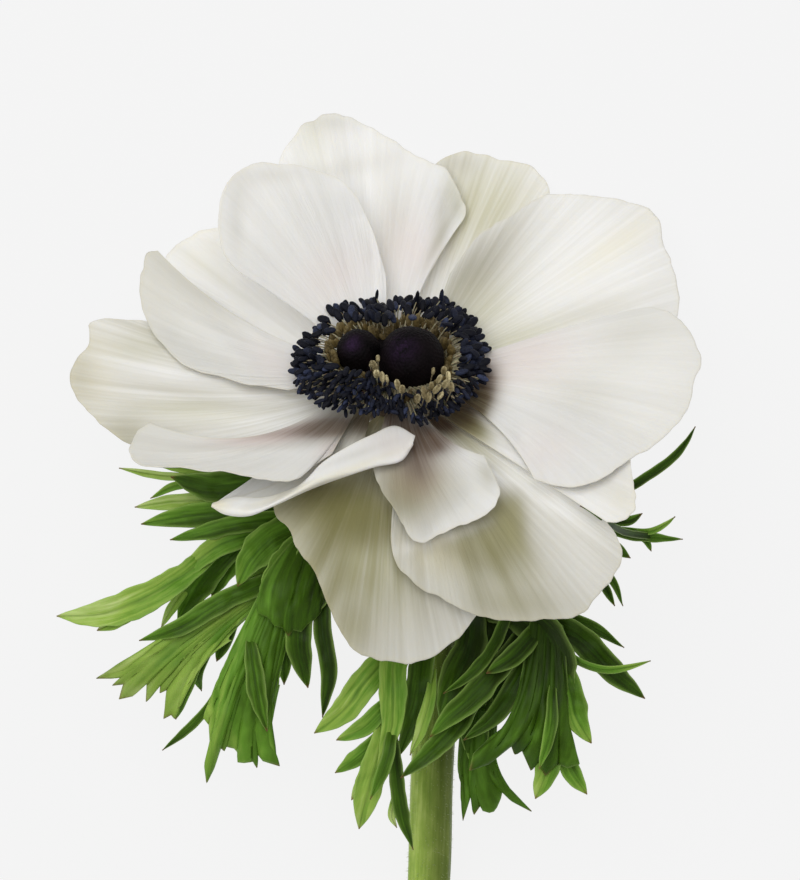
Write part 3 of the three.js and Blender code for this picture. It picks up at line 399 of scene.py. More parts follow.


# Small organs of the flower's middle. low to high: colours of the grain; grain: mm, drawn
# coarser than real pollen sacs and papillae so that it shows; gleam: colour of a painted
# highlight on the lit places, and on the young anthers their own paler colour.
organFinishes = {
    "antherPollenSacs": {  # packed sacs of pollen, nearly black velvet, with navy glints painted on a few
        "low": "#08080c", "high": "#161824", "gleam": "#4d5779", "grain": 0.3, "roughness": 0.45,
        "shader": {"Sheen Weight": 0.01, "Sheen Roughness": 0.35, "Sheen Tint": "#7c88c8",
                   "IOR": 1.45, "Specular IOR Level": 0.12}},
    "youngAntherSkin": {  # unripe sacs, waxy and straw-coloured
        "low": "#392e18", "high": "#6b5a32", "gleam": "#e2d5a8", "grain": 0.4, "roughness": 0.5,
        "shader": {"IOR": 1.45, "Specular IOR Level": 0.2}},
    "filamentTissue": {  # thin stalks, pale and a little see-through
        "low": "#665e48", "high": "#b9b190", "grain": 0.6, "roughness": 0.5,
        "shader": {"IOR": 1.42, "Subsurface Weight": 0.1, "Subsurface Scale": 0.0005}},
    "stamenBed": {  # rough tissue that the stalks grow from
        "low": "#2a2618", "high": "#5a5132", "grain": 0.5, "roughness": 0.6,
        "shader": {"IOR": 1.45, "Specular IOR Level": 0.3}},
    "pistilPapillae": {  # downy tips of the carpels, black, with a purple highlight painted near the crown
        "low": "#040303", "high": "#120b0d", "gleam": "#3c2748", "grain": 0.3, "roughness": 0.6,
        "shader": {"Sheen Weight": 0.01, "Sheen Roughness": 0.3, "Sheen Tint": "#8468a0",
                   "IOR": 1.5, "Specular IOR Level": 0.06}},
}


def organTissue(name, finish):
    # a fine grain and a broad one over a colour that shifts a little
    material, tree = newMaterial(name, finish["shader"])
    spot = addNode(tree, "TexCoord", {}, "Object")
    fineScale, broadScale = 1000 / finish["grain"], 1000 / (9 * finish["grain"])
    fine = addNode(tree, "TexNoise", {"Vector": spot, "Scale": fineScale, "Detail": 4.0, "Roughness": 0.6})
    broad = addNode(tree, "TexNoise", {"Vector": spot, "Scale": broadScale, "Detail": 2.0})
    share = addNode(tree, "Mix", {0: 0.5, 2: fine, 3: broad})
    grain = addNode(tree, "MapRange", {"From Min": 0.35, "From Max": 0.65, "Value": share})
    colour = laidOver(tree, finish["low"], [(grain, finish["high"])])
    # painted highlight where the gleam attribute is high; on the young anthers, their paler colour
    if "gleam" in finish:
        gleam = addNode(tree, "Attribute", {}, "Fac", attribute_name="gleam")
        share = addNode(tree, "Math", [gleam, grain], operation="MULTIPLY", use_clamp=True)
        colour = laidOver(tree, colour, [(share, finish["gleam"])])
    roughness = addNode(tree, "Math", [fine, 0.3, finish["roughness"] - 0.15], **timesPlus)
    finishSurface(tree, colour, roughness, fine, 0.6, 0.2)
    return material


petalMaterial = petalTissue(petalFinish)
leafMaterial = leafTissue()
stemMaterial = stemTissue()
organMaterials = {name: organTissue(name, finish) for name, finish in organFinishes.items()}
print("materials made")


# Tepals. claw: where the foot sits, degrees; storey 0 is the lowest; bow: how far the sides
# swell; pleats: height and number of lengthwise waves; vein: how clearly the veins show;
# shade: painted shade at the foot's first and last side and at the rim's; rim: clockwise, x, y
# and lift off the bowl; creases: from x, y to x, y, height, half width; tints: x, y, half sizes,
# turn, strength. Shade tints are painted shadows; a negative strength lightens as painted light.
tepals = {
    "tepal_01": {  # right, on top
        "claw": 343, "storey": 4, "bow": (0.6, -2.2), "pleats": (0.2, 5),
        "shade": (0.1, 0.12, 0.25, 0.22),
        "rim": [(38.3, 13.5, -4.5), (40.3, 13.9, -3.6), (42.4, 13.6, -2.5), (44.2, 13, -1.6),
                (45.3, 12, -1), (46.5, 10.8, -0.6), (47.5, 9.5, -0.3), (48.3, 7.7, 0), (48.8, 6, 0.5),
                (48.9, 4.5, 1), (48.3, 3.2, 1), (47.5, 1.6, 1), (47.5, -0.2, 1), (47.2, -1.5, 1.2),
                (45.7, -3.8, 1.5), (44.3, -5.4, 1.7), (42.6, -7.1, 1.9), (40.5, -8.7, 2), (37.9, -9.9, 2.3),
                (36, -11.4, 2.5), (33.9, -12.8, 2.4), (31.5, -14, 2), (29.1, -14.5, 1.8), (27, -14.6, 1.5),
                (24.9, -14.2, 1), (22.3, -13.3, 0.5)],
        "creases": [(9, 2, 22, -12, -3, 3), (19, -9, 27, -15, -2.6, 3.4), (24, -15, 44, -6, -2.8, 3.6),
                    (17, 4, 42, 9.5, 0.5, 2.6), (18, -1, 45, 1, -0.45, 2.2), (19, -6, 38, -8, 0.5, 2.2),
                    (24, 9, 36, 10.5, -0.3, 1.4), (30, -12, 24, -4, -0.35, 1.6)],
        "tints": {
            "shade": [(30, 0, 6, 4, 0, 0.16), (37, 9, 6, 4, 30, 0.14), (13, -1.8, 3.6, 2.2, 63, 1.4)],
            "mauveAndShade": [(13, -0.6, 5, 2.5, 63, 2)],
            "rose": [(21, 6, 8, 4.5, 15, 0.6), (24, -9, 5, 4, 0, 0.35)],
            "greyShade": [(30, -6, 9, 3, -15, 0.15)],
        },
    },
    "tepal_02": {  # upper right
        "claw": 38, "storey": 2, "pleats": (0.16, 7), "vein": 0.5,
        "rim": [(9, 19.2, 0), (11.7, 23.1, -0.6), (13.4, 25.2, -1), (14.6, 26.2, -1.4), (15.5, 26.6, -1.6),
                (16.4, 27.4, -1.8), (17.9, 27.9, -2), (20, 29.4, -2.8), (23.5, 31.5, -4),
                (27.3, 31.9, -5.6), (30, 31.8, -7), (32.7, 31.5, -8.2), (37.7, 30.5, -10), (40, 29.9, -11),
                (41.2, 29, -11.3), (42.4, 27.7, -11.5), (42.6, 25.7, -11.4), (43, 23.6, -11.2),
                (43.9, 21.9, -11), (45, 17.7, -10.4), (45.4, 15.7, -10), (45.2, 12.6, -9), (43.6, 9.5, -8),
                (35, 6, -6), (24, 4.3, -3)],
        "creases": [(16, 17, 30, 30, 0.4, 2), (20, 14, 42, 27, -0.4, 2.2), (22, 11, 44, 18, 0.35, 2.2),
                    (12, 19, 18, 27, -0.4, 1.6)],
        "tints": {
            "shade": [(17, 23.5, 5, 11, -38, 0.42)],
            "greyShade": [(11, 17, 3.6, 8, -38, 0.75), (14, 21, 3.2, 7, -40, 0.2), (34, 13, 9, 2.2, 10, 0.3)],
            "green": [(14, 13, 6, 7, -40, 0.5), (20, 8, 9, 2.6, 20, 0.4)],
            "cream": [(36, 24, 9, 2, 35, 0.35)],
        },
    },
    "tepal_03": {  # back right, lowest storey
        "claw": 67, "storey": 0, "pleats": (0.2, 8), "vein": 0.8,
        "rim": [(0.5, 21, -2), (2, 29, -3), (5, 35, -4.5), (7, 36.8, -4.8), (8.7, 37.9, -5),
                (10.2, 38.4, -5), (11.7, 38.7, -5), (13.4, 38.2, -5.2), (15.2, 38, -5.4), (17, 37.3, -5.5),
                (18.8, 37.2, -5.8), (20.8, 36.7, -6), (22.3, 36.1, -6.3), (23.3, 35, -6.5),
                (24.2, 33.8, -6.5), (24.9, 31.8, -6.5), (23.5, 26.5, -6), (18, 19, -4)],
        "creases": [(12, 28, 15, 38, 0.35, 1.2), (15, 28, 20, 37, -0.3, 1.2)],
        "tints": {
            "shade": [(9, 37, 5, 2.5, 0, 0.35)],
            "green": [(12, 29, 9, 7, 30, 0.55), (16, 34, 8, 6, -20, 0.1)],
            "greyShade": [(11.5, 29, 2.4, 8, -10, 0.25), (18, 29.5, 6, 2, 35, 0.15)],
        },
    },
    "tepal_04": {  # back
        "claw": 100, "storey": 2, "bow": (0, -1.4), "pleats": (0.2, 6),
        "rim": [(-17, 31, -3.5), (-18.3, 34.5, -4.2), (-18, 37, -4.5), (-17, 39.5, -4.8), (-15.8, 40.8, -5),
                (-14.4, 42.9, -5.4), (-12.7, 43.5, -5.5), (-11.3, 44.4, -5.5), (-8.7, 44.6, -5.5),
                (-5.9, 43.6, -5.5), (-2.2, 41.7, -5), (1.3, 39.6, -5), (2.7, 38.5, -5), (6.1, 36.9, -5),
                (8.4, 35.9, -5), (10, 33.2, -4.6), (11.4, 30, -4), (11.5, 28.6, -3.2), (10.9, 27.5, -2.8)],
        "creases": [(8, 18, 11.8, 31, -2.8, 2.4), (6.5, 25, 8.6, 33, -0.7, 1.3), (3, 24, 4, 37, 0.4, 1.8),
                    (-4, 27, -6, 42, -0.35, 1.8), (-9, 33, -12, 43, 0.35, 1.4), (9.5, 29, 9, 34, 0.5, 1)],
        "tints": {
            "shade": [(7.3, 24.5, 6.5, 1.1, 62, 0.4), (7.8, 29, 1.6, 6, -12, 0.35),
                      (-10, 43.4, 5, 1.8, 0, 0.3)],
            "green": [(-13, 41, 3, 4.5, 20, 0.3), (10, 31, 1.6, 4, 15, 0.45)],
            "rose": [(3, 23, 4.5, 6, 0, 0.5)],
            "greyShade": [(0.5, 26, 3, 9, -10, 0.4), (-8, 36, 8, 1.6, 10, 0.25)],
        },
    },
    "tepal_05": {  # back left, on top
        "claw": 127, "storey": 4, "bow": (-0.5, 0.6), "pleats": (0.22, 6),
        "shade": (0.05, 0.05, 0.12, 0.05),
        "rim": [(-23.3, 18.8, 1), (-25.2, 20.2, 1.2), (-26.4, 21.8, 1.5), (-27.3, 24, 1.5),
                (-27.7, 27.4, 1.5), (-27.3, 31, 1.2), (-26.6, 33.3, 1), (-25.5, 34.7, 0.7),
                (-24.1, 35.8, 0.5), (-22.4, 36.6, 0.2), (-20.5, 36.9, 0), (-18.4, 36.7, 0),
                (-15.8, 36.5, 0), (-13.5, 36, 0), (-9.3, 34.6, 0), (-7.5, 33.5, 0), (-5.3, 30.6, 0),
                (-3.6, 27, 0), (-2.7, 24.6, 0), (-1.2, 19, 0)],
        "creases": [(-1, 17, -5.6, 31.5, -2.2, 2.6), (-24.5, 23, -24, 33, -0.6, 1.5),
                    (-23, 34, -12, 34.5, -0.45, 1.6), (-9, 18, -18, 33, 0.4, 2),
                    (-6, 19, -10, 31, -0.4, 1.8), (-14, 17, -23, 26, -0.3, 1.6)],
        "tints": {
            "greyShade": [(-24.5, 29, 1.5, 7, -5, 0.22), (-19, 34.8, 7, 1.3, 0, 0.18),
                     (-12, 26, 3, 9, 25, 0.05)],
            "rose": [(-9, 19, 7, 5, 30, 0.45)],
        },
    },
    "tepal_06": {  # back left, lowest storey
        "claw": 141, "storey": 0, "pleats": (0.14, 5), "vein": 0.3,
        "rim": [(-24, 11, -6), (-32, 17, -11), (-35.8, 20.8, -13.5), (-35.8, 22.4, -14.4),
                (-34.5, 23.6, -15), (-32.8, 24.8, -15.4), (-30.7, 25.9, -15.5), (-28.6, 26.5, -15.2),
                (-27, 26.6, -14.6), (-22, 25, -11), (-14, 18, -5)],
        "creases": [(-22, 17, -31, 24, 0.4, 1.4)],
        "tints": {
            "cream": [(-30, 23, 6, 4, 35, 0.12)],
            "green": [(-30, 20.5, 7, 1, -38, 0.2)],
            "greyShade": [(-27.5, 22, 2, 5, 10, 0.1)],
        },
    },
    "tepal_07": {  # left, over the one below it
        "claw": 162, "storey": 3, "bow": (0, -2.8), "pleats": (0.24, 7), "vein": 0.25,
        "shade": (0.05, 0, 0.28, 0.45),
        "rim": [(-16.5, 0.8, 0), (-20, 1.3, 0), (-23.1, 1.7, 0), (-28.6, 3.3, -1.3), (-31, 3.8, -2),
                (-33.1, 4.8, -2.8), (-34.8, 6.2, -3.5), (-36.6, 8.1, -4), (-38, 9.8, -4.5),
                (-39, 11.6, -4.8), (-39.7, 13.7, -5), (-40.3, 17.5, -5), (-40.1, 19, -5), (-39.6, 19.9, -5),
                (-39.6, 21.2, -5), (-39, 22.6, -5), (-37.4, 22.9, -5)],
        "creases": [(-17, 0.4, -39, 10.5, -2.8, 3.6), (-33.5, 20.5, -19, 7.6, 0.55, 0.9),
                    (-36, 17.5, -20, 5, -0.4, 1.5), (-36, 13, -20, 3.4, 0.4, 1.6),
                    (-34, 9, -24, 3.6, -0.3, 1.2), (-30, 17.5, -22, 11.5, -0.4, 1)],
        "tints": {
            "greyShade": [(-30, 15, 10, 2, -40, 0.3), (-26, 5, 8, 1.6, -20, 0.25)],
            "rose": [(-19, 5, 5, 3, -30, 0.4)],
        },
    },
    "tepal_08": {  # far left
        "claw": 178, "storey": 1, "bow": (2.6, 0), "pleats": (0.18, 8), "vein": 0.85,
        "shade": (0, 0, 0.42, 0.15),
        "rim": [(-36, -8.5, -4), (-40.5, -8.2, -4.8), (-42.8, -7.3, -5), (-46.3, -4.7, -5),
                (-48.3, -2.6, -5), (-49.9, -0.9, -5), (-50.9, 0.7, -5), (-51.3, 1.9, -5), (-51.2, 3.3, -5),
                (-50.8, 4.7, -5), (-49.9, 6.2, -5), (-48.7, 7.4, -5), (-48.1, 8.8, -5), (-48.2, 10.2, -5.2),
                (-48.2, 11, -5.5), (-47.3, 11.7, -5.5), (-45.9, 12.1, -5.5), (-42.5, 11.9, -5.3),
                (-39, 11.7, -5), (-28, 9, -2)],
        "creases": [(-24, -1, -46, 2, 0.4, 1.8), (-24, 2, -46, 8, -0.35, 1.8),
                    (-24, -3, -42, -3.5, -0.35, 1.4)],
        "tints": {
            "shade": [(-50, 4, 3, 7, 0, 0.2), (-30, 2.6, 13, 2, -14, -0.15), (-42, -6, 4, 4, 30, 0.3),
                      (-24, -4, 12, 1.2, -3, -0.2)],
            "cream": [(-48, 3, 4, 8, 0, 0.2)],
            "green": [(-33, -2.5, 10, 2, 0, 0.4), (-40, 8, 6, 3, 0, 0.3)],
            "greyShade": [(-32, -0.5, 9, 1.2, -10, 0.25)],
        },
    },
    "tepal_09": {  # lower left, its front edge turned up
        "claw": 208, "storey": 2, "bow": (0, -5), "pleats": (0.18, 5),
        "shade": (0.1, 0.1, 0.3, 0.4),
        "rim": [(-9.6, -9.2, 2), (-13, -11.6, 4.2), (-16, -13.6, 8), (-21.7, -13.2, 10.5),
                (-24.1, -12.7, 10.8), (-26.5, -12.1, 11), (-29.3, -12.1, 11), (-32.4, -11.7, 11),
                (-34.8, -11.3, 10.4), (-38, -11.4, 9), (-39.3, -11.3, 8.4), (-41, -10.5, 7),
                (-41.8, -9.4, 5.6), (-41.7, -8, 4), (-41.3, -7, 2.8), (-40.4, -5.7, 1), (-38.8, -4.4, 0)],
        "creases": [(-10, -9.5, -38, -11.8, -1.2, 1.6), (-8, -6.4, -32, -8.6, -0.9, 1.3),
                    (-16, -5.4, -36, -6, 0.3, 1.2), (-24, -10.4, -36, -9.6, 0.25, 1)],
        "tints": {
            "mauveAndShade": [(-11, -5, 4.5, 1.7, 10, 0.5), (-18, -6, 5, 1, 7, 0.12), (-9.5, -5.4, 6, 1.7, 7, 0.95),
                      (-19, -6.4, 5, 1, 6, 0.3)],
            "shade": [(-11, -5.2, 5, 1.8, 10, 0.4)],
            "rose": [(-18, -6.2, 7, 1.6, 7, 0.7), (-22, -6.7, 7, 1.3, 5, 0.8), (-9, -8.5, 3, 1.6, 20, 0.7)],
            "green": [(-8, -5.5, 2.5, 2.2, 20, 0.5)],
            "greyShade": [(-22, -8.3, 12, 0.8, 2, 0.35)],
        },
    },
    "tepal_10": {  # front right, small
        "claw": 283, "storey": 3, "bow": (-1.8, 0), "pleats": (0.16, 5),
        "shade": (0.2, 0.4, 0, 0.3),
        "rim": [(14.4, -9.6, 0), (15.6, -11.9, 0), (16.4, -13.5, 0), (16.9, -15.1, 0), (16.4, -17.3, 0),
                (14.7, -18.9, 0), (12.7, -20, 0), (9.8, -21, 0), (7.2, -22.3, 0), (5.2, -23.4, 0),
                (3.6, -23.3, 0), (2.3, -22.1, 0), (1.7, -20.8, 0), (-0.3, -17.4, 0), (-2, -14.8, 0),
                (-3.4, -11, 0)],
        "creases": [(16.8, -16, 4, -23.6, -3, 2.8), (7, -8, 12, -18, 0.45, 1.4), (4, -8, 5, -21, -0.4, 1.5),
                    (1, -10, 1, -17, 0.35, 1.2)],
        "tints": {
            "mauveAndShade": [(5.2, -7, 4.2, 2.1, -10, 1.7), (3.6, -10.2, 3.2, 3.8, 12, 0.7),
                      (5, -13, 2.6, 3.5, 12, 0.15), (0.3, -3.6, 2.4, 3, 0, 1.4)],
            "greyShade": [(1, -16, 4.5, 4.5, 0, 0.7)],
            "shade": [(5, -7, 4, 2, -10, 0.2), (1.8, -15.5, 5, 6, 10, 0.65), (7, -12.5, 3, 4.5, 12, 0.15),
                      (15, -12.5, 1.6, 3, 20, 0.4), (10, -15, 6, 6, 0, 0.3)],
            "rose": [(3.6, -13, 4, 4, 0, 1)],
        },
    },
    "tepal_11": {  # front, lowest storey
        "claw": 267, "storey": 0, "pleats": (0.22, 8), "vein": 0.7,
        "shade": (0.95, 0.95, 0.25, 0.7),
        "rim": [(9.5, -18, -1), (13.5, -27, -2), (13.9, -32, -3), (13.2, -34.7, -3.3), (11.7, -37.1, -3.5),
                (10.4, -38.6, -3.5), (8.5, -40, -3.5), (6.9, -41.2, -3.5), (4.6, -42.2, -3.5),
                (2.3, -42.6, -3.5), (0, -42.4, -3.5), (-2.6, -41.9, -3.5), (-4.6, -41.4, -3.4),
                (-6.2, -40.4, -3.2), (-7.5, -38.9, -3), (-9.5, -35.3, -2.6), (-11.1, -31.4, -2),
                (-12.7, -27.5, -1.4), (-15, -24.9, -0.6), (-15.8, -23.1, -0.3), (-16.6, -21.2, 0),
                (-19, -18.3, 0), (-17.2, -14.2, 0)],
        "creases": [(-4, -20, -8, -36, 0.5, 1.6), (0, -24, 1, -41, -0.4, 1.6),
                    (-6, -16, -12, -24, -0.5, 1.6), (6, -26, 9, -38, 0.35, 1.6),
                    (-1, -18, -3, -38, 0.3, 1.2)],
        "tints": {
            "shade": [(-9, -18.5, 10, 5, -25, 0.5), (-12, -26, 9, 1.3, 62, 0.35),
                      (-5, -25.5, 3, 3, 0, -0.3), (-0.8, -26, 1.2, 5, 0, -0.6), (-10, -32, 6, 1.3, 66, 0.3),
                      (1, -22, 6, 2, 85, 0.4), (-6.5, -37, 3, 4, 0, 0.35)],
            "green": [(-7, -25, 9, 9, 0, 0.55), (-8, -17.5, 9, 4, -22, 0.8), (-2, -28, 8, 8, 0, 0.4)],
            "greyShade": [(-5, -22, 7, 5, 0, 0.6), (5, -31, 3, 8, 15, 0.35)],
        },
    },
    "tepal_12": {  # front right
        "claw": 303, "storey": 1, "pleats": (0.22, 7), "vein": 0.7,
        "shade": (0.05, 0.8, 0.32, 0.55),
        "rim": [(31, -17, 1), (34.3, -20.6, 1.5), (35.5, -22.5, 0.9), (36.4, -24.7, 0), (36.2, -26.5, -0.6),
                (35.2, -28.6, -1.5), (33.6, -30.6, -2), (31.7, -32.9, -2.5), (30.1, -34.6, -2.9),
                (28.4, -35.3, -3), (25.6, -35.6, -3), (22.2, -35.8, -3), (18.7, -35.9, -2.8),
                (15.3, -35.5, -2.5), (12, -34.4, -2), (9.5, -33.4, -1.5), (7.5, -32.1, -1.3),
                (4.9, -31.1, -1), (3, -29.5, -0.5), (1, -27.5, 0), (0.1, -25.6, 0), (-0.3, -23, 0),
                (0, -17, 0)],
        "creases": [(12, -18, 26, -33, 0.45, 2), (8, -22, 16, -34, -0.45, 1.8),
                    (16, -16, 32, -28, -0.35, 2), (5, -24, 9, -32, 0.35, 1.2)],
        "tints": {
            "mauveAndShade": [(7.5, -4.6, 3, 1.5, -28, 1.2)],
            "green": [(11, -7, 6, 1.6, -38, 0.6), (13, -22, 7, 3.5, -30, 0.25), (18, -27, 8, 3, -40, 0.35)],
            "shade": [(9.5, -6, 5, 1.6, -38, 0.45), (18.5, -21.5, 8, 1.5, -58, 0.35),
                      (15.5, -24, 9, 1.3, -66, 0.2), (12, -26, 8, 1.6, -76, 0.2),
                      (20, -33.5, 8, 3, -4, 0.3), (18.8, -18.5, 2.6, 5, -10, 0.6),
                      (9, -22.2, 7, 1.1, 17, -0.6), (22, -14.5, 9, 1.4, -34, -0.5),
                      (16, -22.5, 6.5, 8, 15, 0.5), (17, -13, 7, 2.5, -35, -0.3)],
            "cream": [(7, -25, 5, 4, -40, 0.45)],
            "greyShade": [(9, -24, 7, 1.5, -30, 0.5)],
        },
    },
    "tepal_13": {  # lower right
        "claw": 324, "storey": 2, "pleats": (0.16, 6),
        "shade": (0, 0.05, 0.1, 0.1),
        "rim": [(34, -4, 2), (37.6, -8.5, 3), (37.8, -10.4, 3.3), (37.9, -12.3, 3.5), (38.3, -14.4, 3.8),
                (38.5, -16.4, 4), (38.3, -18.3, 4), (37, -19.6, 4), (35.5, -20.2, 3.7), (34, -20.2, 3.5)],
        "creases": [(24, -12, 36, -18, 0.3, 1.2), (26, -10, 37, -14, -0.25, 1)],
        "tints": {
            "mauveAndShade": [(10.5, -2.8, 3.4, 2.4, -35, 1.5)],
            "shade": [(10.5, -3.4, 4, 2.4, -35, 1.2), (13, -5.5, 3.5, 1.6, -35, 0.4),
                      (37, -15, 3, 4, 0, 0.15)],
            "green": [(13, -5.5, 3.5, 1.5, -35, 0.9)],
            "greyShade": [(32, -14.6, 5, 1, -20, 0.15)],
            "cream": [(37, -17, 3, 3, 0, 0.2)],
        },
    },
    "tepal_14": {  # hangs in front on the left, its lower side folded up over itself
        "claw": 225, "storey": 1, "pleats": (0.1, 5),
        "rim": [(-5.4, -10.4, 0.5), (-8.2, -11.8, 0.5), (-12.8, -13.6, 0.5), (-18, -16.1, 0.5),
                (-22.5, -17.9, 0.5), (-26.6, -17.8, 0.5), (-28.3, -17.3, 0.5), (-23.4, -15.9, 0.5),
                (-18.2, -14, 0.5), (-13, -11.4, 0.5)],
        "tints": {
            "shade": [(-5, -4.4, 4, 2.4, 10, 0.5)],
            "mauveAndShade": [(-5.5, -4.8, 3, 2, 10, 0.25), (-4.5, -4.5, 3.4, 3.2, 0, 0.7)],
            "green": [(-5, -4, 3.5, 3, 0, 0.8), (-8, -10, 5, 3, 0, 0.5)],
            "greyShade": [(-16, -13, 8, 2, -20, 0.5)],
        },
    },
}

tepalShape = {
    "columns": 92,
    "rows": 58,
    "lastSteps": (0.003, 0.006),  # share of the width and of the way taken by the step at an edge
    "rowSpacing": 1.15,  # over 1 sets the rows closer at the claw
    "thickness": 0.34,
    "rimThickness": 0.16,
    "pleatDepth": 0.4,  # share of its pleat height that a tepal takes
    "pleatDrift": (0.35, 30),  # how far the pleats wander, in pleats, and over how many mm
    "fineWaves": (0.2, 6),  # share of the pleat height, and mm long
    "swell": (0.28, 15),  # broad unevenness, mm high and long
    "creaseDepth": 0.6,
    "ruffle": (0.16, 2.6),  # uneven rim, mm deep and long
    "warmEdge": (0.25, 0.35),  # cream along the rim: how much, and mm wide
    "vein": 0.28,
    "floorRest": 0.25,
}


def bowlHeight(x, y):
    # flat across the receptacle, then a cubic to the rim, whose height turns from high in
    # front to low at the back
    distance = np.maximum(np.hypot(x, y), 1e-6)
    span = bloom["rimReach"] - bloom["flatReach"]
    u = (distance - bloom["flatReach"]) / span
    sine = y / distance
    cosine = x / distance
    startSlope = -steepness * sine
    level, behind, beside = bloom["rimHeight"]
    rimHeight = level + behind * sine + beside * (cosine ** 2 - sine ** 2)
    rimSlope = bloom["backSlope"] * np.maximum(sine, 0)
    outer = (bloom["flatReach"] * startSlope * (1 - 3 * u ** 2 + 2 * u ** 3)
             + span * startSlope * (u - 2 * u ** 2 + u ** 3)
             + rimHeight * (3 * u ** 2 - 2 * u ** 3) + span * rimSlope * (u ** 3 - u ** 2))
    return np.where(distance < bloom["flatReach"], -steepness * y, outer)


def evened(amount):
    # a tint between 0 and 1 that nears 1 slowly, so that no edge shows where several of them add up
    knee = 0.55
    soft = knee + (1 - knee) * np.tanh((amount - knee) / (1 - knee))
    return np.clip(np.where(amount > knee, soft, amount), 0, 1)


def tintOf(patches, x, y):
    # the sum of one tint at each point: bells of the given sizes and turns
    amount = np.zeros_like(x)
    for middleX, middleY, wide, tall, turn, strength in patches:
        cosine, sine = math.cos(math.radians(turn)), math.sin(math.radians(turn))
        along = ((x - middleX) * cosine + (y - middleY) * sine) / wide
        aside = ((y - middleY) * cosine - (x - middleX) * sine) / tall
        amount += strength * np.exp(-(along ** 2 + aside ** 2))
    return amount


def reliefOf(tepal, at, seed, shape):
    # pleats are waves across the sheet that grow to the rim; creases are bells round a line
    x, y, reach = at["x"], at["y"], at["reach"]
    height, count = tepal["pleats"]
    drift, driftSize = shape["pleatDrift"]
    fine, fineSize = shape["fineWaves"]
    swell, swellSize = shape["swell"]
    turns = count * at["side"] + drift * ripple(at["run"], reach * 20, seed, driftSize)
    relief = shape["pleatDepth"] * height * np.sin(2 * np.pi * turns) * reach ** 0.7
    relief += fine * height * ripple(at["run"], reach * 9, seed + 50, fineSize) * reach
    relief += swell * ripple(x, y, seed + 90, swellSize) * reach
    for startX, startY, endX, endY, rise, width in tepal.get("creases", ()):
        spanX, spanY = endX - startX, endY - startY
        length = math.hypot(spanX, spanY)
        along = ((x - startX) * spanX + (y - startY) * spanY) / length ** 2
        aside = ((y - startY) * spanX - (x - startX) * spanY) / length
        bend = width * 0.5 * np.sin(3.1 * along + seed)
        fade = np.clip(along * 3, 0, 1) * np.clip((1 - along) * 3 + 0.4, 0, 1)
        relief += shape["creaseDepth"] * rise * bell(aside - bend, width) * fade
    return relief


def tepalSheet(tepal, seed, shape):
    # a fan of lines from the foot to the rim, lying on the bowl; side runs across, reach along
    sideStep, rimStep = shape["lastSteps"]
    side = closeToEnds(shape["columns"], sideStep)
    reach = np.concatenate([np.linspace(0, 1 - rimStep, shape["rows"] - 1), [1]])
    reach = (reach ** shape["rowSpacing"])[:, None]
    tips = smoothThrough(tepal["rim"], side)
    rimLength = runAlong(tips[:, :2])[-1]
    turn = np.radians(tepal["claw"] + bloom["clawSpread"] * (1 - 2 * side))
    rise = tepal["storey"] * bloom["storeyHeight"]
    footX = bloom["footHalfWidths"][0] * np.cos(turn)
    footY = bloom["footHalfWidths"][1] * np.sin(turn) * axisUp + rise * axisBack
    spanX = tips[:, 0] - footX
    spanY = tips[:, 1] - footY
    length = np.hypot(spanX, spanY)
    depth, size = shape["ruffle"]
    ruffle = depth * ripple(side * rimLength, 0 * side, seed + 7, size) / length
    grown = reach * (1 + ruffle * reach)
    firstBow, lastBow = tepal.get("bow", (0, 0))
    swell = 4 * reach * (1 - reach) * (firstBow * (1 - side) - lastBow * side)
    x = footX + grown * spanX - swell * spanY / length
    y = footY + grown * spanY + swell * spanX / length
    side, reach = np.broadcast_arrays(side, reach)
    toSide = np.minimum(side, 1 - side) * rimLength * reach
    at = {"x": x, "y": y, "side": side, "reach": reach, "run": side * rimLength,
          "length": np.mean(length), "toRim": np.minimum((1 - reach) * length, toSide)}
    z = bowlHeight(x, y) + rise / axisUp + tips[:, 2] * reach ** 2 + reliefOf(tepal, at, seed, shape)
    return place(x, y, z), at


def petalFields(tints, at, fan, vein, shade, warmEdge):
    # what the tissue reads: the way of the veins, how clear they are, the painted shade and each tint
    cream, width = warmEdge
    fields = {kind: evened(tintOf(tints.get(kind, ()), at["x"], at["y"])) for kind in petalTints}
    fields["cream"] = np.clip(fields["cream"] + cream * bell(at["toRim"], width), 0, 1)
    fields["shade"] = evened(shade + tintOf(tints.get("shade", ()), at["x"], at["y"]))
    return laidOut(at["x"].shape, {**fields, "fan": fan, "vein": vein}, faces=2)


def makeTepal(name, tepal, seed, shape):
    sheet, at = tepalSheet(tepal, seed, shape)
    # a sheet that would go under the floor bends softly to lie on it
    above = sheet[..., 2] - shape["floorRest"]
    sheet[..., 2] = shape["floorRest"] + np.where(above > 1, above, np.exp(np.minimum(above, 1) - 1))
    thinned = (shape["thickness"] - shape["rimThickness"]) * bell(at["toRim"], 1.2)
    points, faces = sheetSkin(sheet, shape["thickness"] - thinned)
    # painted shade, blended from the foot's corners to the rim's
    footFirst, footLast, rimFirst, rimLast = tepal.get("shade", (0, 0, 0, 0))
    smooth = at["side"] ** 2 * (3 - 2 * at["side"])
    shade = ((footFirst + (footLast - footFirst) * smooth) * (1 - at["reach"])
             + (rimFirst + (rimLast - rimFirst) * smooth) * at["reach"])
    fan = (at["run"], at["reach"] * at["length"], 7.3 * seed)
    vein = tepal.get("vein", shape["vein"])
    fields = petalFields(tepal["tints"], at, fan, vein, shade, shape["warmEdge"])
    fillPiece(name + "_petal", points, faces, petalMaterial, name, fields)


for seed, (name, tepal) in enumerate(tepals.items(), 1):
    makeTepal(name, tepal, seed, tepalShape)
print("tepals made")

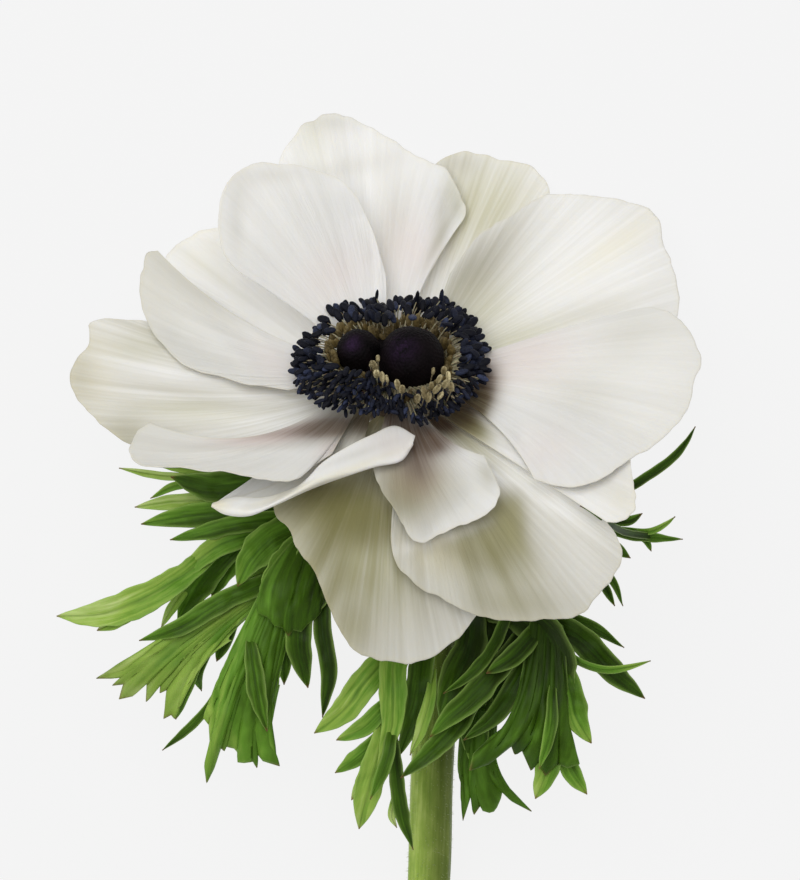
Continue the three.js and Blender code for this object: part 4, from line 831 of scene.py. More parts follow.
foldedFlap = {  # the side of the fourteenth tepal that turns up at the fold and lies back over it
    "foldLine": [(3, -8), (1.3, -10.3), (-2.9, -11.3), (-7.8, -12.9), (-13, -14.8), (-19.4, -17.7),
                 (-23.1, -19.1), (-26.7, -18.8), (-28.8, -17.6)],
    "freeEdge": [(3.5, -6.6), (0.3, -5), (-3.3, -6.4), (-7.2, -8.3), (-11.1, -10.8), (-14.5, -14.2),
                 (-20.2, -16.3), (-25.1, -16.3), (-28.6, -17.3)],
    "flapRise": [(0, 9.4), (0.5, 9.4), (0.62, 8), (0.8, 5.7), (1, 4.4)],
    "underRise": [(0, 7.4), (0.34, 7.4), (0.46, 2.4), (1, 2.4)],
    "curl": 1.1,
    "length": 34.0,
    "width": 6.0,
    "rows": 120,
    "curlColumns": 13,
    "flatColumns": 20,
    "waves": (0.16, 7),  # mm high and long
    "vein": 0.1,
    "warmEdge": (0.3, 0.4),
    "tints": {
        "cream": [(-12, -14, 14, 0.7, 21, 0.5), (-28, -17.6, 2, 1.5, 0, 0.7)],
        "shade": [(-4, -9, 16, 4, 22, 0.25)],
        "rose": [(0, -8, 4, 2.5, 0, 0.4)],
        "greyShade": [(-6, -9.6, 7, 0.6, 20, 0.25)],
    },
}


def makeFoldedFlap(flap, shape):
    # a half circle round the fold line, then straight across to the free edge
    shares = closeToEnds(flap["rows"], 0.004)
    fold = smoothThrough(flap["foldLine"], shares, even=False)
    edge = smoothThrough(flap["freeEdge"], shares, even=False)
    radius = np.minimum(flap["curl"], np.linalg.norm(edge - fold, axis=1) / 3)[:, None]
    inward = unit(edge - fold) * radius
    centre = fold + inward
    under, over = (np.interp(shares, *zip(*flap[key]))[:, None] for key in ("underRise", "flapRise"))
    angle = np.radians(np.linspace(-90, 90, flap["curlColumns"]))
    way = np.concatenate([np.linspace(0, 0.97, flap["flatColumns"])[1:], [1]])
    curled = centre[:, None] - inward[:, None] * np.cos(angle)[:, None]
    flat = centre[:, None] + (edge - centre)[:, None] * way[:, None]
    x, y = np.moveaxis(np.concatenate([curled, flat], 1), -1, 0)
    turned = (under + over) / 2 + (over - under) / 2 * np.sin(angle)
    across = np.concatenate([np.linspace(-2 * flap["curl"], 0, angle.size), way * flap["width"]])
    run = np.broadcast_to((shares * flap["length"])[:, None], x.shape)
    height, size = flap["waves"]
    z = (bowlHeight(x, y) + np.concatenate([turned, over - 0.5 * way ** 2], 1)
         + height * ripple(run, across, 141, size) * np.clip(across / 3, 0, 1))
    points, faces = sheetSkin(place(x, y, z), shape["thickness"])
    at = {"x": x, "y": y, "toRim": flap["width"] - across}
    fan = (run, across, 7.3 * 14)
    fields = petalFields(flap["tints"], at, fan, flap["vein"], 0, flap["warmEdge"])
    fillPiece("tepal_14_flap", points, faces, petalMaterial, "tepal_14", fields)


makeFoldedFlap(foldedFlap, tepalShape)
print("folded flap made")

# Stem with the receptacle at its top

stem = {
    "route": [(2.6, -16.5, -11.2), (6.2, -27, -13.2), (7, -35, -13.4), (7, -48, -13.8), (6.4, -56, -14.3),
              (5.6, -77, -15.8), (3.8, -110, -18.6), (1.5, -143, -20.8), (0, -176, -21.7)],
    "start": -6.0,  # height up the flower's axis, inside the receptacle
    "length": 185.0,
    "radius": 3.4,
    "neckShare": 0.12,
    "neckRadius": 2.5,
    "rings": 320,
    "sides": 56,
    "ribs": (11, 0.07, 0.03),  # number, mm deep, turn for each mm along
    "waves": (0.1, 22),  # gentle unevenness, mm high and long
    # the cut end, a narrow bevel, a flat of pith and a hollow: mm out, share of the radius, paleness
    "cutEnd": [(0, 0.93, 0.6), (0, 0.62, 1), (-0.5, 0.5, 1), (-2.5, 0.42, 0.8), (-2.6, 0.02, 0.5)],
    # height up the flower's axis, half widths across and back
    "receptacle": [(-7.0, 2.6, 2.6), (-4.5, 3.6, 3.4), (-2.0, 6.0, 4.9), (-1.2, 6.4, 5.2), (5.3, 6.4, 5.2),
                   (5.6, 5.5, 4.2), (7.0, 5.4, 4.1)],
    "receptacleRings": 30,
    "receptacleSides": 48,
    "hairs": 5200,
    "hairLength": (0.3, 0.6),
    "hairRadius": 0.035,  # coarser than a real hair, so that it shows
    "hairSpread": 0.35,
}
stemPlaces = np.vstack([onFlower(0, 0, stem["start"]), place(*np.array(stem["route"]).T)])


def stemFrame(shares):
    # centres along the stem with a level side vector and one square to it
    centres = smoothThrough(stemPlaces, shares)
    heading = unit(np.gradient(centres, axis=0))
    sides = unit(np.cross(heading, [0, 0, 1.0]))
    return centres, heading, sides, np.cross(sides, heading)


def stemRadius(shares):
    return np.interp(shares, [0, stem["neckShare"]], [stem["neckRadius"], stem["radius"]])[:, None]


def makeStem(stem):
    # a tube that swells at the neck, with shallow ribs and a gentle unevenness
    shares = np.linspace(0, 1, stem["rings"])
    centres, heading, sides, tops = stemFrame(shares)
    turn = roundTurn(stem["sides"])
    along = (shares * stem["length"])[:, None]
    ribCount, ribDepth, ribTurn = stem["ribs"]
    height, size = stem["waves"]
    skin = (stemRadius(shares) - 0.02 + ribDepth * np.cos(ribCount * turn + ribTurn * along)
            + height * ripple(along, 9 * np.cos(turn), 33, size))
    rings = (centres[:, None] + (skin * np.cos(turn))[..., None] * sides[:, None]
             + (skin * np.sin(turn))[..., None] * tops[:, None])
    out, share, paleness = np.array(stem["cutEnd"]).T[..., None, None]
    end = centres[-1] + heading[-1] * out + (rings[-1] - centres[-1]) * share
    rings = np.concatenate([rings, end])
    points, faces = tubeSkin(rings, [centres[0], rings[-1].mean(0)])
    length = np.concatenate([along, np.full((len(end), 1), stem["length"])])
    # painted shade: darker and brownish on the side away from the light, over a real flush
    shadedBrownSide = np.clip((0.6 - np.cos(turn)) / 1.05, 0, 1) ** 0.9
    fields = laidOut(rings.shape[:2], {
        "skin": (turn * stem["radius"], length, 0),
        "flushAndShade": 0.97 * shadedBrownSide * (0.88 + 0.12 * np.sin(length / 17)),
        "cut": np.concatenate([0 * along, paleness[:, 0]]),
        "bed": 0,
    }, ends=2)
    fillPiece("stem_skin", points, faces, stemMaterial, "stem", fields)


def makeReceptacle(stem):
    # rings up the flower's axis, half widths from the profile
    heights, widths, depths = np.array(stem["receptacle"]).T
    count = stem["receptacleSides"]
    up = np.concatenate([np.linspace(heights[0], heights[-3], stem["receptacleRings"]), heights[-2:]])
    rings = ovalRings(np.interp(up, heights, widths), np.interp(up, heights, depths), up, count)
    points, faces = tubeSkin(rings, onFlower(0, 0, up[[0, -1]]))
    each = np.append(np.repeat(up, count), up[[0, -1]])
    # the flush and bed fields paint the receptacle dark: its own brown, partly painted shade under the
    # stamens
    fields = {"skin": points - points.mean(0), "flushAndShade": 0.6, "cut": 0, "bed": np.clip(each / 2 + 2, 0, 1)}
    fillPiece("stem_receptacle", points, faces, stemMaterial, "stem", fields)


def makeHairs(stem):
    # fine hairs: three-sided points standing off the stem, leaning towards its foot
    dice = np.random.default_rng(71)
    count = stem["hairs"]
    shares = np.sort(dice.uniform(0.03, 0.995, count))
    marks = np.linspace(0, 1, 400)
    centres, heading, sides, tops = (np.stack([np.interp(shares, marks, axis) for axis in field.T], 1)
                                     for field in stemFrame(marks))
    turn = dice.uniform(0, 2 * np.pi, count)[:, None]
    out = sides * np.cos(turn) + tops * np.sin(turn)
    root = centres + out * (stemRadius(shares) - 0.1)
    tilt = dice.normal(0, stem["hairSpread"], (count, 2))
    way = unit(out + heading * (0.25 + tilt[:, :1]) + np.cross(out, heading) * tilt[:, 1:])
    tip = root + way * (dice.uniform(*stem["hairLength"], count)[:, None] + 0.1)
    aside = unit(np.cross(way, heading))
    other = np.cross(aside, way)
    corners = [root + stem["hairRadius"] * (aside * math.cos(a) + other * math.sin(a)) for a in roundTurn(3)]
    points = np.stack([*corners, tip], 1).reshape(-1, 3)
    start = 4 * np.arange(count)[:, None, None]
    facets = (start + np.array([[0, 1, 3], [1, 2, 3], [2, 0, 3], [0, 2, 1]])).reshape(-1, 3)
    fields = {"skin": points * 0.2, "flushAndShade": 0, "cut": 0.7, "bed": 0}
    fillPiece("stem_hairs", points, turnedOut(points, facets), stemMaterial, "stem", fields)


makeStem(stem)
makeReceptacle(stem)
makeHairs(stem)
print("stem made")

# Stamens

stamens = {
    "outline": [(-15.6, 6.8), (-15.8, 4.4), (-15.2, 1.5), (-14, 0), (-11.6, -1.4), (-8, -2.5), (-4.5, -3.1),
                (-1, -2.9), (1.5, -3.5), (4, -4.7), (7, -3.9), (9.5, -2.3), (11.2, -0.7), (13.2, 0.8),
                (14.6, 2.8), (15, 5.5), (14.5, 8.5), (13.8, 10.4), (12.6, 12.2), (10.6, 14.1), (8.6, 15),
                (7, 15.2), (5, 14.6), (2, 15.3), (-2, 15), (-4.6, 15.4), (-7, 14.8), (-9.8, 13.4),
                (-11.4, 12), (-12.6, 10.4), (-14.2, 8.6)],
    "gaps": [(3.0, -1.2, 1.1), (4.6, 12.6, 1.1), (0.8, 13.4, 0.7)],  # few anthers stand here: x, y, radius
    "field": (-18, 18, -7, 18),  # that the honeycomb of places covers: from and to which x and y
    "spacing": 0.98,
    "shake": 0.24,  # share of the spacing
    "layers": 2,
    "filled": 0.9,  # share of the places behind the middle that hold an anther
    "crown": 10.4,  # height up the flower's axis of the innermost anthers
    "fall": 0.45,  # how much lower they stand for each mm outwards
    "fallFrom": (9, -2),  # the distance that the fall counts from, and its least value
    "layerDrop": 1.3,
    "roomBehind": 2.6,  # mm clear of the domes
    "roomInFront": 0.1,
    "roomAtSides": [(-11, 6.5, 3.5, 1.2), (9.5, 9, 2.5, 0.96)],  # more of it: x, y, radius, mm
    "roomAtBack": -0.9,
    "roomSpread": 0.25,
    "clearAxis": 5.0,  # no anther stands nearer to the flower's axis
    "anther": (2.15, 1.1, 0.74),  # length, width, depth
    "smallerInFront": (0.22, 0.42, 0.2),  # by how much of each
    "slenderAnther": (1.3, 0.6),  # share of the length and width
    "sizeSpread": (0.82, 1.15),
    "turnSpread": 0.5,  # radians that one may turn from pointing outwards
    "lift": (0.35, 0.4, 0.6),  # of its outer end: mean, spread, and less in front
    "gleam": 0.65,
    "youngAnther": (2.1, 0.95, 0.7),
    "youngLean": (0.3, 0.25),  # spread, and outwards
    "youngHeights": (7.2, 8.6),
    "uprightHeights": (11.2, 12.6),
    # rings of an anther, a share of half its length from its middle, and their girth
    "antherRings": [(-0.97, 0.34), (-0.72, 0.8), (-0.28, 1.0), (0.28, 1.0), (0.72, 0.8), (0.97, 0.34)],
    "antherSides": 12,
    "groove": (0.34, 0.3),  # how deep and wide the two sacs are nipped apart
    "slender": [(3.8, 15.3), (7.7, 15.5), (-2.6, 15.8)],  # taller ones that stand out at the back: x, y
    "filamentRadius": 0.11,
    "filamentTaper": [1.5, 1.1, 1.0, 0.9, 0.8],
    "root": (8.1, 6.3, 6.3),  # half widths across and back of the ring of roots, and its height
    # young anthers still upright between the domes and beside the large one: x, y
    "upright": [(-3.6, 4.9), (-2.9, 4.6), (-2.3, 5.7), (-2.5, 3.1), (-1.7, 2.8), (-0.9, 2.5), (0.6, 1.6),
                (1.5, 0.9), (6.4, 3.6), (7.9, 3.8), (8.6, 2.9), (7.2, 2.4), (6, 1.3), (6.8, 0.9), (8.1, 1.6),
                (4.8, 0.3), (5.6, -0.3), (9.1, 1.2), (7.4, -0.2), (3.9, -0.6)],
    "collar": 92,  # young anthers that stand close round each dome
    "collarGap": (0.25, 1.5),  # mm outside it
    # ring of tissue that the stamens stand on: half widths across and back, height
    "ring": [(8.7, 6.9, 5.8), (8.7, 6.9, 6.7), (8.4, 6.6, 7.0), (6.2, 4.9, 7.0), (5.8, 4.5, 6.7),
             (5.8, 4.5, 5.8)],
    "ringSides": 72,
}
domes = [  # across, back, up, radius, carpels
    (2.9, -2.1, 8.8, 5.2, 900),
    (-5.4, 0.2, 8.6, 3.5, 430),
]
eyeward = np.array([0, 0.3, 0.95])


def insideOutline(x, y, outline):
    # even-odd rule: how often a level line from the point crosses the outline
    a = np.array(outline)
    b = np.roll(a, -1, axis=0)
    crosses = (a[:, 1] > y[:, None]) != (b[:, 1] > y[:, None])
    at = a[:, 0] + (y[:, None] - a[:, 1]) * (b[:, 0] - a[:, 0]) / (b[:, 1] - a[:, 1] + 1e-12)
    return (np.sum(crosses & (x[:, None] < at), axis=1) % 2) == 1


def domeGap(x, y):
    # how far a seen point lies outside the nearest dome
    return np.min([np.hypot(x - a, y - (b * axisUp + u * axisBack)) - r for a, b, u, r, _ in domes], axis=0)


def carriedUp(x, y, up):
    # the place in the flower's own frame of a seen point at a height up its axis
    return x, (y - up * axisBack) / axisUp, up


def frontShare(y):
    # 1 for seen places in front of the middle, 0 for those behind it
    return np.clip((5 - y) / 3, 0, 1)


def antherPlaces(stamens):
    # a shaken honeycomb over the seen ring, each place carried up to the crown of stamens
    dice = np.random.default_rng(5)
    gap = stamens["spacing"]
    shake = gap * stamens["shake"]
    left, right, front, rear = stamens["field"]
    across, along = np.meshgrid(np.arange(left, right, gap), np.arange(front, rear, gap * 0.87))
    across = across + (np.arange(len(along)) % 2)[:, None] * gap / 2
    layers = []
    for layer in range(stamens["layers"]):
        x = (across + dice.normal(0, shake, across.shape) + layer * gap / 3).ravel()
        y = (along + dice.normal(0, shake, across.shape) + layer * gap / 3).ravel()
        keep = insideOutline(x, y, stamens["outline"])
        inFront = frontShare(y)
        keep &= dice.random(keep.size) < stamens["filled"] * (1 - inFront) + inFront
        for gapX, gapY, radius in stamens["gaps"]:
            keep &= np.hypot(x - gapX, y - gapY) > radius
        up = np.full(keep.size, 9.0)
        for _ in range(4):  # the height follows from the place, and the place from the height
            back = carriedUp(x, y, up)[1]
            outwards = np.maximum(np.hypot(x, back * 1.1) - stamens["fallFrom"][0], stamens["fallFrom"][1])
            up = stamens["crown"] - stamens["fall"] * outwards - stamens["layerDrop"] * layer
        back = carriedUp(x, y, up)[1]
        behind = np.clip((y - 1.5 + 0.25 * x) / 3.5, 0, 1)
        room = stamens["roomInFront"] + (stamens["roomBehind"] - stamens["roomInFront"]) * behind
        room = room + stamens["roomAtBack"] * np.clip((y - 9) / 3, 0, 1)
        room = room + dice.normal(0, stamens["roomSpread"], keep.size)
        for sideX, sideY, radius, more in stamens["roomAtSides"]:
            room = room + more * bell(np.hypot(x - sideX, y - sideY), radius)
        keep &= (domeGap(x, y) > room) & (np.hypot(x / 1.15, back) > stamens["clearAxis"])
        layers.append(np.stack([x, back, up + dice.normal(0, 0.4, keep.size)], 1)[keep])
    return np.concatenate(layers).T


def youngPlaces(stamens):
    # places close outside the domes, few of them in front at the left, and the clusters in front
    dice = np.random.default_rng(8)
    count = stamens["collar"]
    turn = roundTurn(count, dice.random(count))
    spots = []
    for across, back, up, radius, _ in domes:
        reach = radius + dice.uniform(*stamens["collarGap"], count)
        spots.append(np.stack([across + reach * np.cos(turn),
                               back * axisUp + up * axisBack + reach * np.sin(turn)], 1))
    ring = np.concatenate(spots)
    shown = (ring[:, 1] > 5.5) | (ring[:, 0] > 5) | (dice.random(len(ring)) < 0.2)
    ring = ring[(domeGap(*ring.T) > 0.2) & shown]
    groups = np.array(stamens["upright"]) + dice.normal(0, 0.08, (len(stamens["upright"]), 2))
    up = np.concatenate([dice.uniform(*stamens["youngHeights"], len(ring)),
                         dice.uniform(*stamens["uprightHeights"], len(groups))])
    return carriedUp(*np.concatenate([ring, groups]).T, up)


def antherSkins(middles, long, size, dice):
    # two round pollen sacs side by side: an oval whose outline is nipped in along its middle
    count = len(middles)
    side = unit(np.cross(long, unit(dice.normal(0, 0.22, (count, 3)) + eyeward)))
    top = np.cross(side, long)
    way, girth = np.array(stamens["antherRings"]).T
    turn = roundTurn(stamens["antherSides"], 0.5)
    depth, width = stamens["groove"]
    nip = 1 - depth * bell(np.cos(turn), width)
    scale = dice.uniform(*stamens["sizeSpread"], count)
    length, wide, deep = ((part / 2 * scale)[:, None, None, None] for part in size)
    rings = (middles[:, None, None] + long[:, None, None] * length * way[None, :, None, None]
             + side[:, None, None] * wide * (girth[:, None] * np.cos(turn))[None, ..., None]
             + top[:, None, None] * deep * (girth[:, None] * np.sin(turn) * nip)[None, ..., None])
    reach = long * length[:, 0, 0] * 1.04
    ends = np.stack([middles - reach, middles + reach], 1)
    points = np.concatenate([rings.reshape(count, -1, 3), ends], 1)
    return repeated(points, *ringFaces(way.size, turn.size))


def antherGroove():
    # 1 on the two sacs of one anther and less in the groove between them, for each of its points
    turn = roundTurn(stamens["antherSides"], 0.5)
    return np.append(np.tile(1 - 0.85 * bell(np.cos(turn), 0.4), len(stamens["antherRings"])), [0.4, 0.4])


def filamentSkins(roots, knees, tips):
    # thin tubes on a bowed line: its points are a quadratic of root, knee and tip
    taper = np.array(stamens["filamentTaper"])
    way = np.linspace(0, 1, taper.size)[None, :, None]
    centres = roots[:, None] * (1 - way) ** 2 + tips[:, None] * way ** 2
    centres = centres + knees[:, None] * 2 * way * (1 - way)
    heading = unit(np.gradient(centres, axis=1))
    side = unit(np.cross(heading, flowerAxis))
    top = np.cross(side, heading)
    turn = roundTurn(5)[None, None, :, None]
    thick = (stamens["filamentRadius"] * taper)[None, :, None, None]
    rings = centres[:, :, None] + thick * (side[:, :, None] * np.cos(turn) + top[:, :, None] * np.sin(turn))
    points = np.concatenate([rings.reshape(len(roots), -1, 3), centres[:, [0, -1]]], 1)
    return repeated(points, *ringFaces(taper.size, turn.size))


def makeAnthers(stamens, dice):
    # dark ripe anthers that lie outwards on the ends of their filaments; gives roots, knees, tips
    taller = np.array(stamens["slender"])
    extra = carriedUp(*taller.T, np.full(len(taller), stamens["crown"] - 1))
    across, back, up = (np.concatenate(pair) for pair in zip(antherPlaces(stamens), extra))
    slender = np.arange(across.size) >= across.size - len(taller)
    middles = onFlower(across, back, up)
    rootWide, rootDeep, rootUp = stamens["root"]
    heading = np.arctan2(back / rootDeep, across / rootWide)
    tilt = heading + dice.normal(0, stamens["turnSpread"], heading.size)
    inFront = frontShare(middles[:, 1] - bloom["middle"][1])
    lift, liftSpread, lessInFront = stamens["lift"]
    lifted = dice.normal(0, liftSpread, heading.size) + lift - lessInFront * inFront
    long = unit(onFlower(np.cos(tilt), np.sin(tilt), lifted) - onFlower(0, 0, 0))
    long[slender] = unit(np.array([0.12, 0.9, 0.5]))
    size = [whole * (1 - less * inFront)
            for whole, less in zip(stamens["anther"], stamens["smallerInFront"])]
    size[0][slender] *= stamens["slenderAnther"][0]
    size[1][slender] *= stamens["slenderAnther"][1]
    points, faces = antherSkins(middles, long, size, dice)
    lit = stamens["gleam"] * dice.random(len(middles)) ** 5  # painted glints on a few; most are dull
    gleam = np.repeat(lit, len(points) // len(middles))
    material = organMaterials["antherPollenSacs"]
    fillPiece("stamens_anthers", points, faces, material, "stamens", {"gleam": gleam})
    roots = onFlower(rootWide * np.cos(heading), rootDeep * np.sin(heading), rootUp)
    tips = middles - flowerAxis * 0.3
    return roots, (roots + tips) / 2 + flowerAxis * 0.9, tips


def makeYoungAnthers(stamens, dice):
    # pale unripe anthers that stand upright round the domes; gives roots, knees, tips
    across, back, up = youngPlaces(stamens)
    middles = onFlower(across, back, up)
    rootWide, rootDeep, rootUp = stamens["root"]
    heading = np.arctan2(back / rootDeep, across / rootWide)
    spread, outwards = stamens["youngLean"]
    lean = outwards * np.stack([np.cos(heading), np.sin(heading)])
    lean = lean + dice.normal(0, spread, (2, heading.size))
    long = unit(onFlower(*lean, 1) - onFlower(0, 0, 0))
    points, faces = antherSkins(middles, long, stamens["youngAnther"], dice)
    pale = np.where(up > 10, 1.3 * dice.uniform(0.3, 1, up.size), 0.25 * dice.random(up.size))
    gleam = (pale[:, None] * antherGroove()).ravel()
    material = organMaterials["youngAntherSkin"]
    fillPiece("stamens_young_anthers", points, faces, material, "stamens", {"gleam": gleam})
    roots = onFlower(across * 0.9, back * 0.8 + 0.4, rootUp)
    tips = middles - long * 0.7
    return roots, (roots + tips) / 2, tips


def makeStamenRing(stamens):
    # the profile swept round the axis, its last point joined to its first
    rings = ovalRings(*zip(*stamens["ring"]), stamens["ringSides"])
    index = np.arange(rings.size // 3).reshape(rings.shape[:2])
    ahead = np.roll(index, -1, axis=1)
    quads = np.stack([index, ahead, np.roll(ahead, -1, axis=0), np.roll(index, -1, axis=0)], -1)
    points = rings.reshape(-1, 3)
    faces = turnedOut(points, quads.reshape(-1, 4))
    fillPiece("stamens_ring", points, faces, organMaterials["stamenBed"], "stamens", {})


stamenDice = np.random.default_rng(19)
ripe = makeAnthers(stamens, stamenDice)
young = makeYoungAnthers(stamens, stamenDice)
points, faces = filamentSkins(*(np.concatenate(pair) for pair in zip(ripe, young)))
fillPiece("stamens_filaments", points, faces, organMaterials["filamentTissue"], "stamens", {})
makeStamenRing(stamens)
print(len(ripe[0]), "stamens and", len(young[0]), "young ones")

# Pistil

pistil = {
    "rows": 150,
    "columns": 260,
    "reach": 0.8,  # how far down the ball goes, share of a half turn
    "carpelHeight": 0.022,  # share of the dome's radius
    "carpelShake": 0.45,  # share of the room of one
    "carpelSizes": (0.3, 1.2),  # how much they differ, and over how far
    "waves": (0.1, 4),  # gentle unevenness, mm high, and how long
    "footUps": [7.05, 7.2, 8.0, 8.3, 8.4],
    "footWidths": [5.4, 5.7, 5.7, 5.2, 4.0],
    "footOval": 0.78,  # depth as a share of the width
    "footSides": 48,
    "gleamFrom": (-0.3, 0.35, 0.9),
    "gleam": (0.75, 0.38),  # painted highlight: how strong, and how wide as a share of the radius
}


def makeDome(number, dome, pistil):
    # a ball whose skin rises to a small point over each carpel, the carpels on a golden spiral
    across, back, up, radius, carpels = dome
    tilt = np.linspace(0.02, math.pi * pistil["reach"], pistil["rows"])[:, None]
    turn = roundTurn(pistil["columns"])
    ways = np.stack(np.broadcast_arrays(np.sin(tilt) * np.cos(turn), np.sin(tilt) * np.sin(turn),
                                        np.cos(tilt)), -1)
    order = np.arange(carpels) + 0.5
    high = np.arccos(1 - 1.8 * order / carpels)
    spiral = np.pi * (1 + 5 ** 0.5) * order
    seeds = np.stack([np.sin(high) * np.cos(spiral), np.sin(high) * np.sin(spiral), np.cos(high)], 1)
    shake = pistil["carpelShake"] / math.sqrt(carpels)
    shaken = np.random.default_rng(number + 30).normal(0, shake, seeds.shape)
    near = 1 - np.max(ways.reshape(-1, 3) @ unit(seeds + shaken).T, axis=1).reshape(ways.shape[:2])
    differ, size = pistil["carpelSizes"]
    near *= 1 + differ * ripple(ways[..., 0] * 9, ways[..., 1] * 9, number + 60, size)
    spread = 1.8 / carpels  # half the square of a carpel's angle
    bump = np.exp(-near / spread * 1.1) - 0.45
    height, size = pistil["waves"]
    skin = (radius * (1 + pistil["carpelHeight"] * bump)
            + height * ripple(ways[..., 0] * 5, ways[..., 2] * 5, number + 40, size))
    rings = onFlower(across + skin * ways[..., 0], back + skin * ways[..., 1], up + skin * ways[..., 2])
    points, faces = tubeSkin(rings, [rings[0].mean(0), rings[-1].mean(0)])
    # painted purple highlight on the side of the dome that faces gleamFrom
    strength, width = pistil["gleam"]
    towards = onFlower(across, back, up) + np.array(pistil["gleamFrom"]) * radius
    gleam = strength * bell(np.linalg.norm(points - towards, axis=1), radius * width)
    material = organMaterials["pistilPapillae"]
    fillPiece(f"pistil_dome_{number}", points, faces, material, "pistil", {"gleam": gleam})


def makePistilFoot(pistil):
    # an oval cushion under both domes
    ups, widths = np.array(pistil["footUps"]), np.array(pistil["footWidths"])
    rings = ovalRings(widths, widths * pistil["footOval"], ups, pistil["footSides"])
    points, faces = tubeSkin(rings, onFlower(0, 0, ups[[0, -1]]))
    material = organMaterials["pistilPapillae"]
    fillPiece("pistil_foot", points, faces, material, "pistil", {"gleam": 0})


for number, dome in enumerate(domes, 1):
    makeDome(number, dome, pistil)
makePistilFoot(pistil)
print("pistil made")
